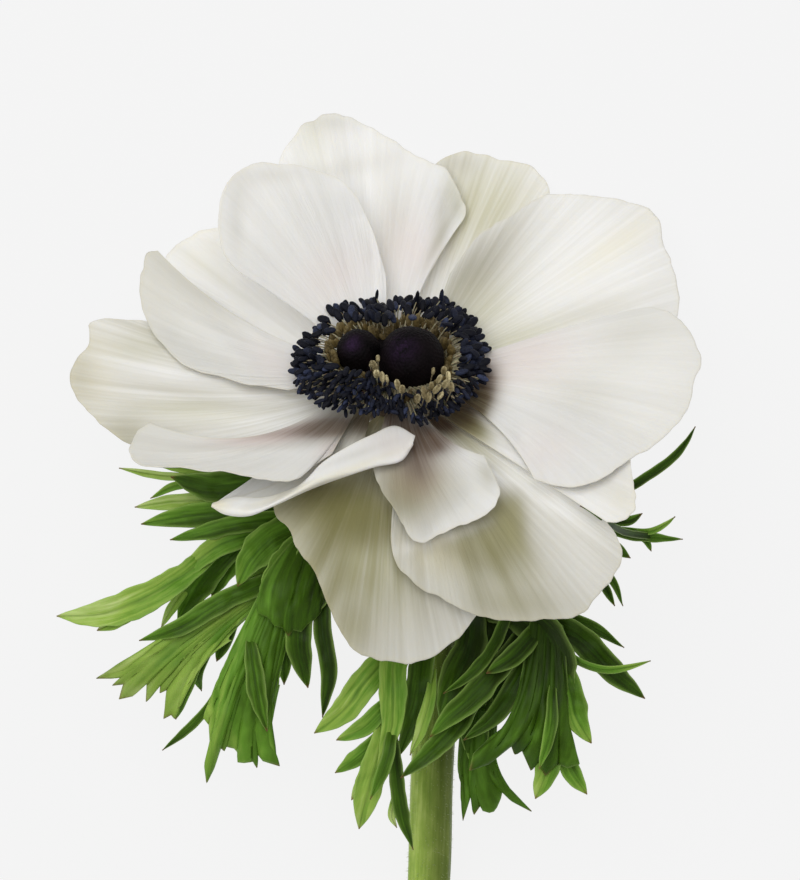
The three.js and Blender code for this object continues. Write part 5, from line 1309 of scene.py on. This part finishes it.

# Bracts. sheath: from and to which angle of the stem the collar goes, degrees; paintedShadow:
# painted shadow of the flower over the leaf, darker from one x (0) or y (1) to another, by how
# much; lobes: tone from 0 dark to 1 light, or from root to tip, partly painted shade where a
# lobe lies under the flower or other lobes, width, root width as a share of it, midrib.
bracts = {
    "leaf_left": {
        "sheath": (150, 235),
        "paintedShadow": (0, -23, -13, 0.1),
        "lobes": [
            (0.5, 4.4, 0.7, [(4.6, -33.2, -10.5), (-4, -27, -6.5), (-12, -20.5, -3), (-19, -17.6, -1.5)]),
            (0.5, 4.4, 0.8, [(-3, -26, -6.5), (-9, -18.5, -4.5), (-15, -14.3, -2.5)]),
            (0.5, 3, 0.8, [(-12, -14.5, -3.6), (-26, -12.2, -4), (-36.9, -11.4, -5.5)]),
            (0.26, 5.2, 0.7, [(-13, -15, -2), (-22, -14, -0.5), (-29, -14.6, -0.5), (-35.3, -13, -2.5)]),
            (0.8, 1.3, 0.8, [(-28, -12.8, -4.2), (-36, -12.9, -5), (-43.5, -11.6, -6)]),
            (0.5, 1.3, 0.8, [(-29, -13.6, -3.6), (-35, -14.6, -4.6), (-38.5, -16.4, -6)]),
            (0.78, 2.6, 0.7, [(-24, -16.8, -3), (-34, -16.9, -4.8), (-41, -17.8, -6.5)]),
            (0.45, 3.9, 0.7, [(-16, -18, -1.8), (-28, -18.8, -1), (-34, -19.4, -2), (-40, -20.5, -4)]),
            (0.36, 3, 0.8, [(-13, -19.5, -2.2), (-24, -20.4, 0.4), (-30, -21.8, 0), (-35.4, -23, -2)]),
            ((0.3, 0.62), 3.5, 0.9, [(-8, -23.5, -4.6), (-17, -21.4, -1.5), (-27, -23.6, 0.2),
                                     (-33, -28, 0.4), (-37.5, -32, -0.2)]),
            ((0.55, 0.84), 4.9, 0.5, [(-28.5, -24.8, 0.5), (-35, -29.8, 0.9), (-41, -33, 0.2),
                                      (-46.5, -34.8, -2), (-53.4, -35.1, -5)]),
            (0.8, 2.2, 0.8, [(-40, -34, -1), (-47, -37.4, -3.5)]),
            (0.2, 4.6, 0.6, [(-24, -22.5, -1.5), (-30, -29, -4.5), (-34.2, -36.2, -7)]),
            (0.8, 1.6, 0.8, [(-31.5, -29, -4.6), (-35.2, -34, -5), (-36.8, -36.9, -6)]),
            (0.35, 3.4, 0.7, [(-23, -22, -1.6), (-26.8, -28, -5), (-28.8, -32, -7)]),
            (0.5, 5.4, 0.6, [(-11, -20.5, -2.6), (-18, -22, 1.6), (-22.5, -26, 2.6), (-24.7, -30.4, 1.6)]),
            (0.5, 6.4, 0.45, [(4.3, -33.8, -10.8), (-6, -29.5, -6), (-14, -28.2, -3), (-22, -31.2, -1.4),
                              (-29, -36.2, -1.4)]),
            (0.25, 3.2, 0.8, [(-17, -28.4, -1.2), (-27, -32.8, 1.6), (-34, -36.9, 1), (-40.3, -39, -1)]),
            (0.4, 2.6, 0.9, [(-30, -39, -0.8), (-33, -46, -2.5), (-34.5, -51.5, -6)]),
            (0.2, 1.9, 1, [(-28.5, -38.5, -1), (-31, -44, -3), (-30.4, -47, -6)]),
            (0.2, 2.2, 1, [(-25.5, -36, -0.8), (-28, -42.3, -4)]),
            (0.42, 7, 0.35, [(4.8, -34.4, -10.3), (-6, -26.5, -1.5), (-14, -25.2, 2), (-18.5, -29.5, 3.6),
                             (-21.5, -36, 4)]),
            (0.2, 1.4, 1, [(-26, -45, 3.8), (-31, -51.5, 1.5), (-36.6, -56.4, -3)]),
            (0.28, 3, 0.1, [(-23, -36, 4.6), (-22.2, -42.5, 6), (-21.4, -48, 6.2), (-20, -53.4, 4.4)]),
            (0.28, 6, 0.5, [(-1, -28.6, -3.2), (-8.5, -22.5, 2), (-13.5, -26, 4.6), (-16, -30, 5.4)]),
            (0.25, 5.5, 0.7, [(-7, -23.5, 1.6), (-10.6, -27, 5), (-12, -34.5, 6)]),
            (0.25, 3.6, 0.9, [(-13.5, -28, 5), (-17, -38, 3.5), (-17.3, -46, 0)]),
            (0.32, 4, 0.8, [(-13.5, -28, 5.4), (-15, -39, 5), (-13.5, -46.5, 1.5)]),
            (0.2, 2.8, 0.8, [(-11, -28, 4.8), (-11.2, -37, 5), (-10.2, -44, 4.5), (-11.2, -51.2, 1)]),
        ],
    },
    "leaf_front": {
        "sheath": (254, 308),
        "paintedShadow": (1, -60, -42, 0.05),
        "lobes": [
            (0.58, 4.4, 0.8, [(7.6, -35, -9.6), (4, -37.5, -2), (0.2, -42, 3.5), (0, -47.5, 5),
                              (-0.3, -53, 4.2), (-2.5, -59.5, 2.6)]),
            (0.6, 4.6, 0.6, [(1.6, -39.2, 0.6), (-3.6, -44.5, 3.6), (-8, -50.3, 3.2), (-12.5, -53.7, 1)]),
            (0.58, 2.9, 0.6, [(0.4, -47.4, 4.8), (-4.5, -52.6, 3.4), (-9, -54.8, 1.5)]),
            (0.42, 2.6, 0.6, [(-0.4, -52.6, 4), (-5, -57, 2), (-9.2, -60, -0.5)]),
            (0.62, 4.4, 0.4, [(-0.3, -49, 3.2), (-2, -56, 3.2), (-3.6, -61.5, 2.2), (-4.6, -65.3, 0.8),
                              (-5.4, -68.9, -2)]),
            (0.72, 2, 1, [(-3, -58.8, 2.6), (-6.6, -64.3, 0)]),
            (0.22, 2.1, 0.5, [(0.3, -50.5, 3.6), (-1.2, -58.5, 5.4), (-3.6, -64.2, 3.5)]),
            (0.2, 2.4, 0.5, [(-0.4, -51, 3.4), (0.5, -60, 2.2), (1.3, -66, 0), (3.2, -72.2, -4)]),
            (0.75, 1.3, 1, [(0.9, -62.6, 1.4), (-0.2, -66.8, -1), (0.6, -68.7, -2)]),
            (0.22, 4, 0.8, [(5.2, -36.4, -4.4), (4.5, -43, 0.6), (3.5, -50, 2), (0.9, -57.4, 1.6)]),
            (0.62, 2.1, 0.5, [(6.4, -43.5, 2.2), (5.9, -48, 3), (4.6, -52.6, 3.4), (2.7, -57.2, 2.2)]),
        ],
    },
    "leaf_right": {
        "sheath": (-30, 70),
        "paintedShadow": (1, -54, -40, 0.15),
        "lobes": [
            (0.2, 6, 0.6, [(10.6, -33.4, -11.5), (15.4, -33.4, -5), (20.5, -35, 1.5), (24.8, -39, 3.4),
                           (26.4, -45, 3.4), (26.2, -57, 2)]),
            (0.12, 6, 0.6, [(13, -33.4, -6), (17, -37.5, -3.5), (17, -44, -3.5), (15.5, -52, -4.5)]),
            (0.12, 5.4, 0.7, [(12.6, -33.4, -6.5), (12.2, -40, -1), (9.6, -46, 2.2), (7.6, -53, 2)]),
            (0.2, 2.5, 0.8, [(10.8, -32.4, -11.5), (18, -28, -5.5), (26, -23, -1.6), (33, -18, 0.8),
                             (37, -14.7, 2)]),
            (0.22, 3.7, 0.7, [(15.5, -42, -2.4), (10.5, -51.5, 1.6), (6, -56.6, 3.4), (1.2, -60.8, 2.2)]),
            ((0.1, 0.45), 4, 0.7, [(20.5, -38.5, 2.6), (13, -47.6, 5.4), (8.5, -51.5, 5.4),
                                   (5.9, -54.3, 4)]),
            (0.22, 1.9, 1, [(18.4, -34.2, 0.4), (15.6, -40.5, 5), (12, -44.6, 6), (8, -47.4, 4.5)]),
            (0.22, 3.2, 0.8, [(23.5, -36.6, 2.8), (19, -41.5, 5.8), (14.8, -44.2, 5.6)]),
            (0.14, 3.2, 0.8, [(23, -39, 2.4), (16.4, -50.6, 1.6), (11.2, -54.8, 0.6)]),
            (0.2, 4.4, 0.6, [(14.6, -44, -3.6), (13, -54, -4.4), (13.4, -60, -5)]),
            ((0.2, 0.5), 2, 0.5, [(25.4, -45, 6), (25, -53, 6.6), (23.2, -59.4, 4.6)]),
            ((0.3, 0.5), 3.6, 0.7, [(26.2, -52.5, 2.6), (24.3, -60, 2), (22.6, -64.1, 0)]),
            ((0.25, 0.55), 3, 0.7, [(26.2, -53, 2.2), (28.2, -59.5, 1), (30.8, -63.4, -0.5)]),
            ((0.2, 0.55), 4.2, 0.8, [(25.6, -41, 3.4), (28, -46.5, 4), (29, -51, 3.5), (31.5, -55.3, 2)]),
            (0.22, 4.4, 0.7, [(20, -34.4, 1.2), (29, -38.2, 0.2), (35, -44, -1), (40, -48.2, -4)]),
            ((0.3, 0.7), 1.2, 1, [(25.6, -39.2, 3.4), (29.5, -42.3, 3.2), (33.5, -43.6, 3), (37, -43.3, 2),
                                  (40.9, -42.2, 0)]),
            (0.25, 2.1, 1, [(18.5, -33.4, 0), (31, -36.6, -4), (36.7, -40.1, -6)]),
            (0.38, 1.3, 1, [(27, -22.4, -1.4), (34.6, -29.2, -3), (36.5, -33.5, -6)]),
            (0.42, 1.4, 1, [(31.4, -26.2, -2.4), (35.2, -33.5, -6)]),
            (0.5, 2.2, 1, [(30, -20.6, -0.2), (37.7, -25.9, -4)]),
            (0.42, 1.5, 1, [(31.5, -18.8, 0.3), (36, -21.8, 0.4), (41, -22.6, 0), (46, -22.9, -2)]),
            (0.7, 1, 1, [(36, -21.4, 0.3), (41, -21.6, 0.9), (43.4, -20.4, 0.2), (44.8, -19.3, -0.5)]),
            (0.62, 0.95, 1, [(38.5, -22, 0.2), (40.2, -23.2, -0.6), (41, -24.8, -2)]),
            (0.34, 1.5, 1, [(33, -19.8, 0.3), (37.5, -19.9, 1), (39.6, -18.8, 0.5)]),
            (0.14, 1.1, 1, [(42, -22.5, -0.4), (39, -22.2, 3.6), (36.6, -21.7, 9.5), (34.8, -20.7, 17),
                            (33.4, -19.8, 20.4), (31.6, -18.6, 21.2), (29.7, -17.6, 21)]),
            (0.26, 1.4, 1, [(34, -17, 1), (40.2, -13, 2.5), (44.2, -10.2, 2.5), (46.6, -7.4, 1.5),
                            (48, -5, 0)]),
        ],
    },
}

# Broad parts with toothed ends: tone at the first and last side, partly painted shade, root,
# waist, rim, and how high the rim lies at its first side, middle and last side.
plates = {
    "leaf_left": [
        {"tone": (0.66, 0.66), "root": [(-17, -27.3, -1.4), (-18.5, -31.6, -1.6)],
         "waist": [(-30, -33.4, 0.4), (-28, -36.4, 0.6), (-25, -37.2, -0.6)],
         "rim": [(-36.4, -38.9), (-38.3, -40), (-40.5, -42), (-43, -43.8), (-47.1, -45), (-44.8, -45),
                 (-42.7, -44.8), (-44.6, -46.1), (-42.8, -45.9), (-43.5, -48.3), (-41.4, -47.8),
                 (-39.1, -45.7), (-39.2, -48.7), (-37.4, -46.3), (-36.9, -46), (-37, -47.3), (-35.9, -46.8),
                 (-36.4, -51.4), (-35.2, -50.8), (-34.7, -51.4), (-34.1, -49), (-32.9, -45.5), (-32, -43.4),
                 (-29.6, -42), (-27.7, -40.3), (-25.6, -38.9)],
         "rise": (-0.5, -3.2, 0)},
        {"tone": (0.54, 0.34), "root": [(-18.6, -26.5, 3.6), (-13.5, -27.5, 3.4)],
         "waist": [(-26.2, -41.5, 4.8), (-22, -42, 5.4), (-17.4, -42, 4.4)],
         "rim": [(-28.9, -48.6), (-30.1, -51.3), (-29.2, -52.4), (-29, -55.6), (-29.9, -59), (-29.6, -61.6),
                 (-28.6, -59.6), (-27.7, -56.8), (-27.5, -55.9), (-26.8, -56.5), (-26.5, -55.8),
                 (-25.2, -56.1), (-24.6, -56.8), (-24.6, -58.3), (-23.6, -58.4), (-22.2, -58.2),
                 (-21.6, -59.2), (-21.5, -58.4), (-22, -57.2), (-21.9, -56.5), (-20.6, -58.1), (-18, -58.9),
                 (-19.1, -57.2), (-19.6, -55.4), (-19.5, -53.5), (-18.9, -50), (-18, -46)],
         "rise": (3.4, 0, 3)},
        {"tone": (0.4, 0.22), "root": [(-15.6, -22.8, 3.4), (-11, -24.5, 3.2)],
         "waist": [(-20.2, -28.5, 6.2), (-16.4, -30, 7.4), (-11.2, -30, 6.2)],
         "rim": [(-21, -31.6), (-21.6, -33.4), (-21.4, -34.6), (-19.8, -35.3), (-18.8, -36.6),
                 (-17.5, -36.9), (-16.6, -38.3), (-15.9, -37.3), (-14.6, -37.6), (-13.6, -36.4),
                 (-12.4, -35.6), (-11.6, -34.6), (-10.9, -33)],
         "rise": (6, 5.8, 5.4)},
    ],
    "leaf_right": [
        {"tone": (0.26, 0.2), "root": [(21.8, -35.5, 2.2), (27, -36.5, 2.2)],
         "waist": [(19.6, -48.3, 5.2), (23.6, -49.6, 5.8), (27.8, -47, 4.6)],
         "rim": [(18.2, -52.3), (15.5, -54.3), (12.7, -57), (12.1, -59.6), (14.5, -58.8), (17, -56.5),
                 (18.4, -54.6), (19.3, -57), (20.4, -56.2), (21.9, -59.6), (22.9, -58.4), (24.2, -60.4),
                 (26.2, -58.5), (27.7, -59.2), (29.6, -58.6), (27.7, -57), (26.9, -55.2), (27.4, -52.6)],
         "rise": (4.4, 2, 3)},
        {"tone": (0.28, 0.34), "root": [(11.4, -49, -4.2), (16.8, -50, -4.2)],
         "waist": [(10.3, -57.5, -4.8), (13.3, -58, -4.4), (16.2, -57.5, -4.8)],
         "rim": [(11, -61.6), (11.8, -64.4), (11.1, -67.6), (12.6, -62.7), (12.7, -64.6), (12.9, -66.6),
                 (13.9, -65.1), (14.3, -66), (15.3, -66.3), (16, -66.1), (16.5, -65.4), (17.1, -64),
                 (17.4, -62.6), (19.5, -64.8), (22, -66.1), (18.6, -62.6), (16.6, -60)],
         "rise": (-6, -7, -6.4)},
    ],
}

bractShape = {
    "rows": 40,
    "columns": 13,
    "rowSpacing": 1.15,
    "thickness": 0.46,
    "tipWidth": 0.07,
    "broadWidth": 4.5,
    "channel": (0.2, 0.16),  # its depth as a share of the half width; the same in a broad lobe
    "margin": 0.16,  # how far the edges turn up, share of the half width
    "groove": (0.1, 0.12),  # of the midrib: mm deep, share of the half width
    "ribs": (5, 0.035),
    "dents": (0.14, 3.2),  # mm high and long
    "edgeWaves": (0.09, 4),
    "longWaves": (0.12, 9),
    "toneSpread": 0.05,
    "palerAlong": 0.16,  # towards the tip
    "paintedLitHalf": 0.07,  # painted light: lighter on the side that faces the light
    "midribWidth": 0.16,
    "driedTip": (0.75, 0.55),  # how brown, and how long
    "roll": 9.0,  # degrees that a lobe may turn about its midrib
    "rootSink": (1.8, 2.8, -9),  # mm deep and long, for lobes whose root lies above this height
    "plateRows": 44,
    "plateStep": 0.6,  # mm along a toothed rim
    "plateCurl": 0.5,
    "plateWaves": (0.3, 5),
    "plateRibs": (0.25, 1.5),
    "plateEdge": (0.7, 0.16),  # how pale, and how wide
    "plateTip": (0.6, 0.4),
    "veinSink": (0.3, 0.22),  # mm deep and wide
    "collarShare": 0.17,  # how far along the stem
    "collarMiddle": (7.0, -33.2, -13.35),
    "collarRadius": 4.02,  # stem, gap and half a blade
    "collarLength": 5.0,
    "collarThickness": 0.5,
    "collarRows": 9,
    "collarColumns": 26,
}


def lobeWidth(shares, rootShare):
    # widens from the root to about the middle, then narrows to a point
    widest = 0.56
    swell = np.sin(np.pi * np.minimum(shares / widest, 1) / 2)
    narrowing = np.maximum(np.cos(np.pi * (shares - widest) / (2 - 2 * widest)), 0) ** 0.85
    return (rootShare + (1 - rootShare) * swell) * np.where(shares < widest, 1, narrowing)


def lobeSkin(lobe, shape, seed):
    # a blade along a midrib: its sides lie square to the midrib as seen, sunk in the middle
    tone, width, rootShare, midrib = lobe
    dice = np.random.default_rng(seed)
    rootTone, tipTone = np.broadcast_to(tone, 2)
    shares = 1 - (1 - np.linspace(0, 1, shape["rows"])) ** shape["rowSpacing"]
    route = smoothThrough(midrib, shares)
    shares = shares[:, None]
    length = runAlong(route)[-1]
    heading = np.gradient(route, axis=0)
    across = unit(np.stack([-heading[:, 1], heading[:, 0]], 1))
    half = np.maximum(width * lobeWidth(shares, rootShare) / 2, shape["tipWidth"])
    offset = np.concatenate([[-1], np.linspace(-0.94, 0.94, shape["columns"] - 2), [1]])
    wave, waveLength = shape["edgeWaves"]
    flank = offset * half * (1 + wave * ripple(shares * length, 3 * np.sign(offset), seed + 5, waveLength))
    roll = math.tan(math.radians(shape["roll"] * dice.uniform(-1, 1)))
    x = route[:, :1] + across[:, :1] * flank
    y = route[:, 1:2] + across[:, 1:] * flank
    depth = shape["channel"][width > shape["broadWidth"]]
    ribCount, ribHeight = shape["ribs"]
    dent, dentLength = shape["dents"]
    groove, grooveWidth = shape["groove"]
    sink, sinkLength, lowRoot = shape["rootSink"]
    sink = sink * bell(shares * length, sinkLength) * (midrib[0][2] > lowRoot)  # under what carries it
    longWave, longLength = shape["longWaves"]
    z = (route[:, 2:] - depth * half * (1 - np.abs(offset) ** 1.4)
         + shape["margin"] * half * np.abs(offset) ** 5 - groove * bell(offset, grooveWidth)
         + ribHeight * np.cos(np.pi * ribCount * offset) * np.minimum(half, 1)
         + roll * flank * np.sin(np.pi * shares) - sink
         + longWave * ripple(shares * length, 0 * shares, seed + 9, longLength)
         + dent * np.minimum(half, 2) * ripple(x, y, seed + 13, dentLength))
    thickness = shape["thickness"] * (0.35 + 0.65 * np.minimum(half / 1.2, 1)) * (1 - 0.55 * offset ** 6)
    points, faces = sheetSkin(place(x, y, z), thickness)
    own = rootTone + (tipTone - rootTone) * shares + shape["toneSpread"] * dice.normal()
    own = own + shape["palerAlong"] * rootTone * (shares ** 2 * 2 - 0.7)
    lit = across[:, :1] * -0.6 + across[:, 1:] * 0.8  # painted light: the half that turns to the back left, towards the lamp, is lighter
    brown, brownLength = shape["driedTip"]
    return points, faces, laidOut(x.shape, {
        "blade": (flank, shares * length, seed * 3.7),
        "tone": own + shape["paintedLitHalf"] * lit * np.tanh(3 * offset),
        "midrib": bell(flank, shape["midribWidth"]),
        "edge": np.abs(offset) ** 10,
        "tip": brown * bell((1 - shares) * length, brownLength),
    }, faces=2)


def plateSkin(plate, shape, seed):
    # lines fan out from the root through the waist to the toothed rim; the teeth grow with the
    # square of the way along, and a sunk vein runs back from each of their tips
    rim = np.array(plate["rim"])
    corners = runAlong(rim)
    run = np.unique(np.round(np.concatenate([corners, np.arange(0.2, corners[-1], shape["plateStep"])]), 3))
    side = run / run[-1]
    reach = (np.linspace(0, 1, shape["plateRows"]) ** 0.9)[:, None]
    rise = np.interp(side, [0, 0.5, 1], plate["rise"])
    tips = np.stack([np.interp(run, corners, rim[:, 0]), np.interp(run, corners, rim[:, 1]), rise], 1)
    root = np.stack([np.interp(side, [0, 1], ends) for ends in np.array(plate["root"]).T], 1)
    waist = smoothThrough(plate["waist"], side)
    chord = tips[:1] * (1 - side[:, None]) + tips[-1:] * side[:, None]
    control = 2 * waist - (root + chord) / 2
    share = reach[..., None]
    sheet = root * (1 - share) ** 2 + 2 * share * (1 - share) * control + share ** 2 * tips
    x, y, z = np.moveaxis(sheet, -1, 0)
    reached = np.linalg.norm(rim - np.mean(plate["root"], axis=0)[:2], axis=1)
    peaks = np.flatnonzero((reached[1:-1] > reached[:-2] + 0.3) & (reached[1:-1] > reached[2:] + 0.3)) + 1
    width = np.linalg.norm(waist[0] - waist[-1])
    sink, veinWidth = shape["veinSink"]
    veins = sum((bell((side - corners[peak] / corners[-1]) * width, veinWidth) for peak in peaks), 0 * side)
    length = np.mean(np.linalg.norm(tips - root, axis=1))
    toSide = np.minimum(side, 1 - side) * width
    wave, waveLength = shape["plateWaves"]
    rib, ribWidth = shape["plateRibs"]
    z = (z - sink * veins * bell(reach - 0.5, 0.45) + wave * ripple(x, y, seed, waveLength) * reach
         + rib * ripple(side * width, reach * length * 0.25, seed + 3, ribWidth) * bell(reach - 0.6, 0.5)
         - shape["plateCurl"] * bell(toSide, 1.1) * np.sin(np.pi * reach))
    toRim = np.minimum((1 - reach) * length, toSide)
    points, faces = sheetSkin(place(x, y, z), shape["thickness"] * (1 - 0.55 * bell(toRim, 0.5)))
    paleness, edgeWidth = shape["plateEdge"]
    brown, brownLength = shape["plateTip"]
    return points, faces, laidOut(x.shape, {
        "blade": ((side - 0.5) * width * (0.5 + 0.5 * reach), reach * length, seed * 3.7),
        "tone": np.interp(side, [0, 1], plate["tone"]) * (0.88 + 0.3 * reach ** 2),
        "midrib": 0.8 * veins,
        "edge": paleness * bell(toRim, edgeWidth),
        "tip": brown * np.minimum(veins, 1) * bell((1 - reach) * length, brownLength),
    }, faces=2)


def collarSkin(sheath, shape):
    # part of a sleeve round the stem, a little wider at both ends
    heading = stemFrame(np.linspace(0, 1, 401))[1]
    ahead = heading[round(shape["collarShare"] * 400)]
    side = unit(np.array([1.0, 0, 0]) - ahead * ahead[0])
    top = np.cross(side, ahead)
    turn = np.radians(np.linspace(*sheath, shape["collarColumns"]))[:, None]
    way = np.linspace(-0.5, 0.5, shape["collarRows"])[:, None, None]
    sheet = (place(*np.array(shape["collarMiddle"])) + ahead * way * shape["collarLength"]
             + (shape["collarRadius"] + 0.25 * way ** 2) * (side * np.cos(turn) + top * np.sin(turn)))
    points, faces = sheetSkin(sheet, shape["collarThickness"])
    fields = {"blade": (4 * turn[:, 0], 0, 0), "tone": 0.5, "midrib": 0, "edge": 0, "tip": 0}
    return points, faces, laidOut(sheet.shape[:2], fields, faces=2)


def makeBract(name, bract, shape, seed):
    # all lobes, toothed parts and the collar of one leaf, in one mesh
    skins = [lobeSkin(lobe, shape, seed + number) for number, lobe in enumerate(bract["lobes"])]
    skins += [plateSkin(plate, shape, seed + number)
              for number, plate in enumerate(plates.get(name, ()), 40)]
    skins.append(collarSkin(bract["sheath"], shape))
    starts = np.cumsum([0] + [len(points) for points, _, _ in skins])
    points = np.concatenate([skin[0] for skin in skins])
    quads = np.concatenate([faces[0] + start for (_, faces, _), start in zip(skins, starts)])
    fields = {key: np.concatenate([skin[2][key] for skin in skins]) for key in skins[0][2]}
    # painted shadow of the flower over the leaf: darker towards the bloom
    axis, start, end, depth = bract["paintedShadow"]
    seen = points[:, axis] - bloom["middle"][axis]
    fields["tone"] -= depth * np.clip((seen - start) / (end - start), 0, 1)
    fillPiece(name + "_blades", points, [quads], leafMaterial, name, fields)


for number, (name, bract) in enumerate(bracts.items()):
    makeBract(name, bract, bractShape, 100 + 60 * number)
print("bracts made")

# Floor, light and camera

studio = {
    "floorSize": 3.0,  # m
    "floorColour": "#404040",
    "floorGlow": 0.853,
    "skyStrength": 0.52,
    "keyPower": 12.5,  # W
    "keyPlace": (-0.3, 0.5, 1.3),
    "keyAim": (0.0027, 0.05, 0.02),
    "keySize": 1.3,
    "sensor": 36.0,
    "viewWidth": 139.7,  # mm that the picture spans at the bloom's height
    "shift": (7 / 880, -45 / 880),
}

floorMesh = bpy.data.meshes.new("floor")
half = studio["floorSize"] / 2
floorMesh.from_pydata([(-half, -half, 0), (half, -half, 0), (half, half, 0), (-half, half, 0)],
                      [], [(0, 1, 2, 3)])
floorMaterial, _ = newMaterial("paleBoard", {
    "Base Color": studio["floorColour"], "Roughness": 0.9, "Specular IOR Level": 0.1,
    "Emission Color": "#ffffff", "Emission Strength": studio["floorGlow"],
})
floorMesh.materials.append(floorMaterial)
addObject("floor", floorMesh)

world = bpy.data.worlds.new("studio")
bpy.context.scene.world = world
world.use_nodes = True
setInputs(world.node_tree, world.node_tree.nodes["Background"],
          {"Color": "#ffffff", "Strength": studio["skyStrength"]})

keyData = bpy.data.lights.new("key", "AREA")
keyData.energy = studio["keyPower"]
keyData.size = studio["keySize"]
key = addObject("key", keyData)
key.location = studio["keyPlace"]
aim = np.array(studio["keyAim"]) - np.array(studio["keyPlace"])
key.rotation_euler = (math.acos(-aim[2] / np.linalg.norm(aim)), 0, math.atan2(aim[1], aim[0]) - math.pi / 2)

cameraData = bpy.data.cameras.new("camera")
cameraData.sensor_width = studio["sensor"]
cameraData.lens = studio["sensor"] * bloom["seenFrom"] / studio["viewWidth"]
cameraData.shift_x, cameraData.shift_y = studio["shift"]
cameraData.clip_end = 20
camera = addObject("camera", cameraData)
camera.location = (np.array(bloom["middle"]) + [0, 0, bloom["seenFrom"]]) / 1000
camera.rotation_euler = (0, 0, 0)
bpy.context.scene.camera = camera
bpy.context.scene.view_settings.view_transform = "Standard"
print("stage set")
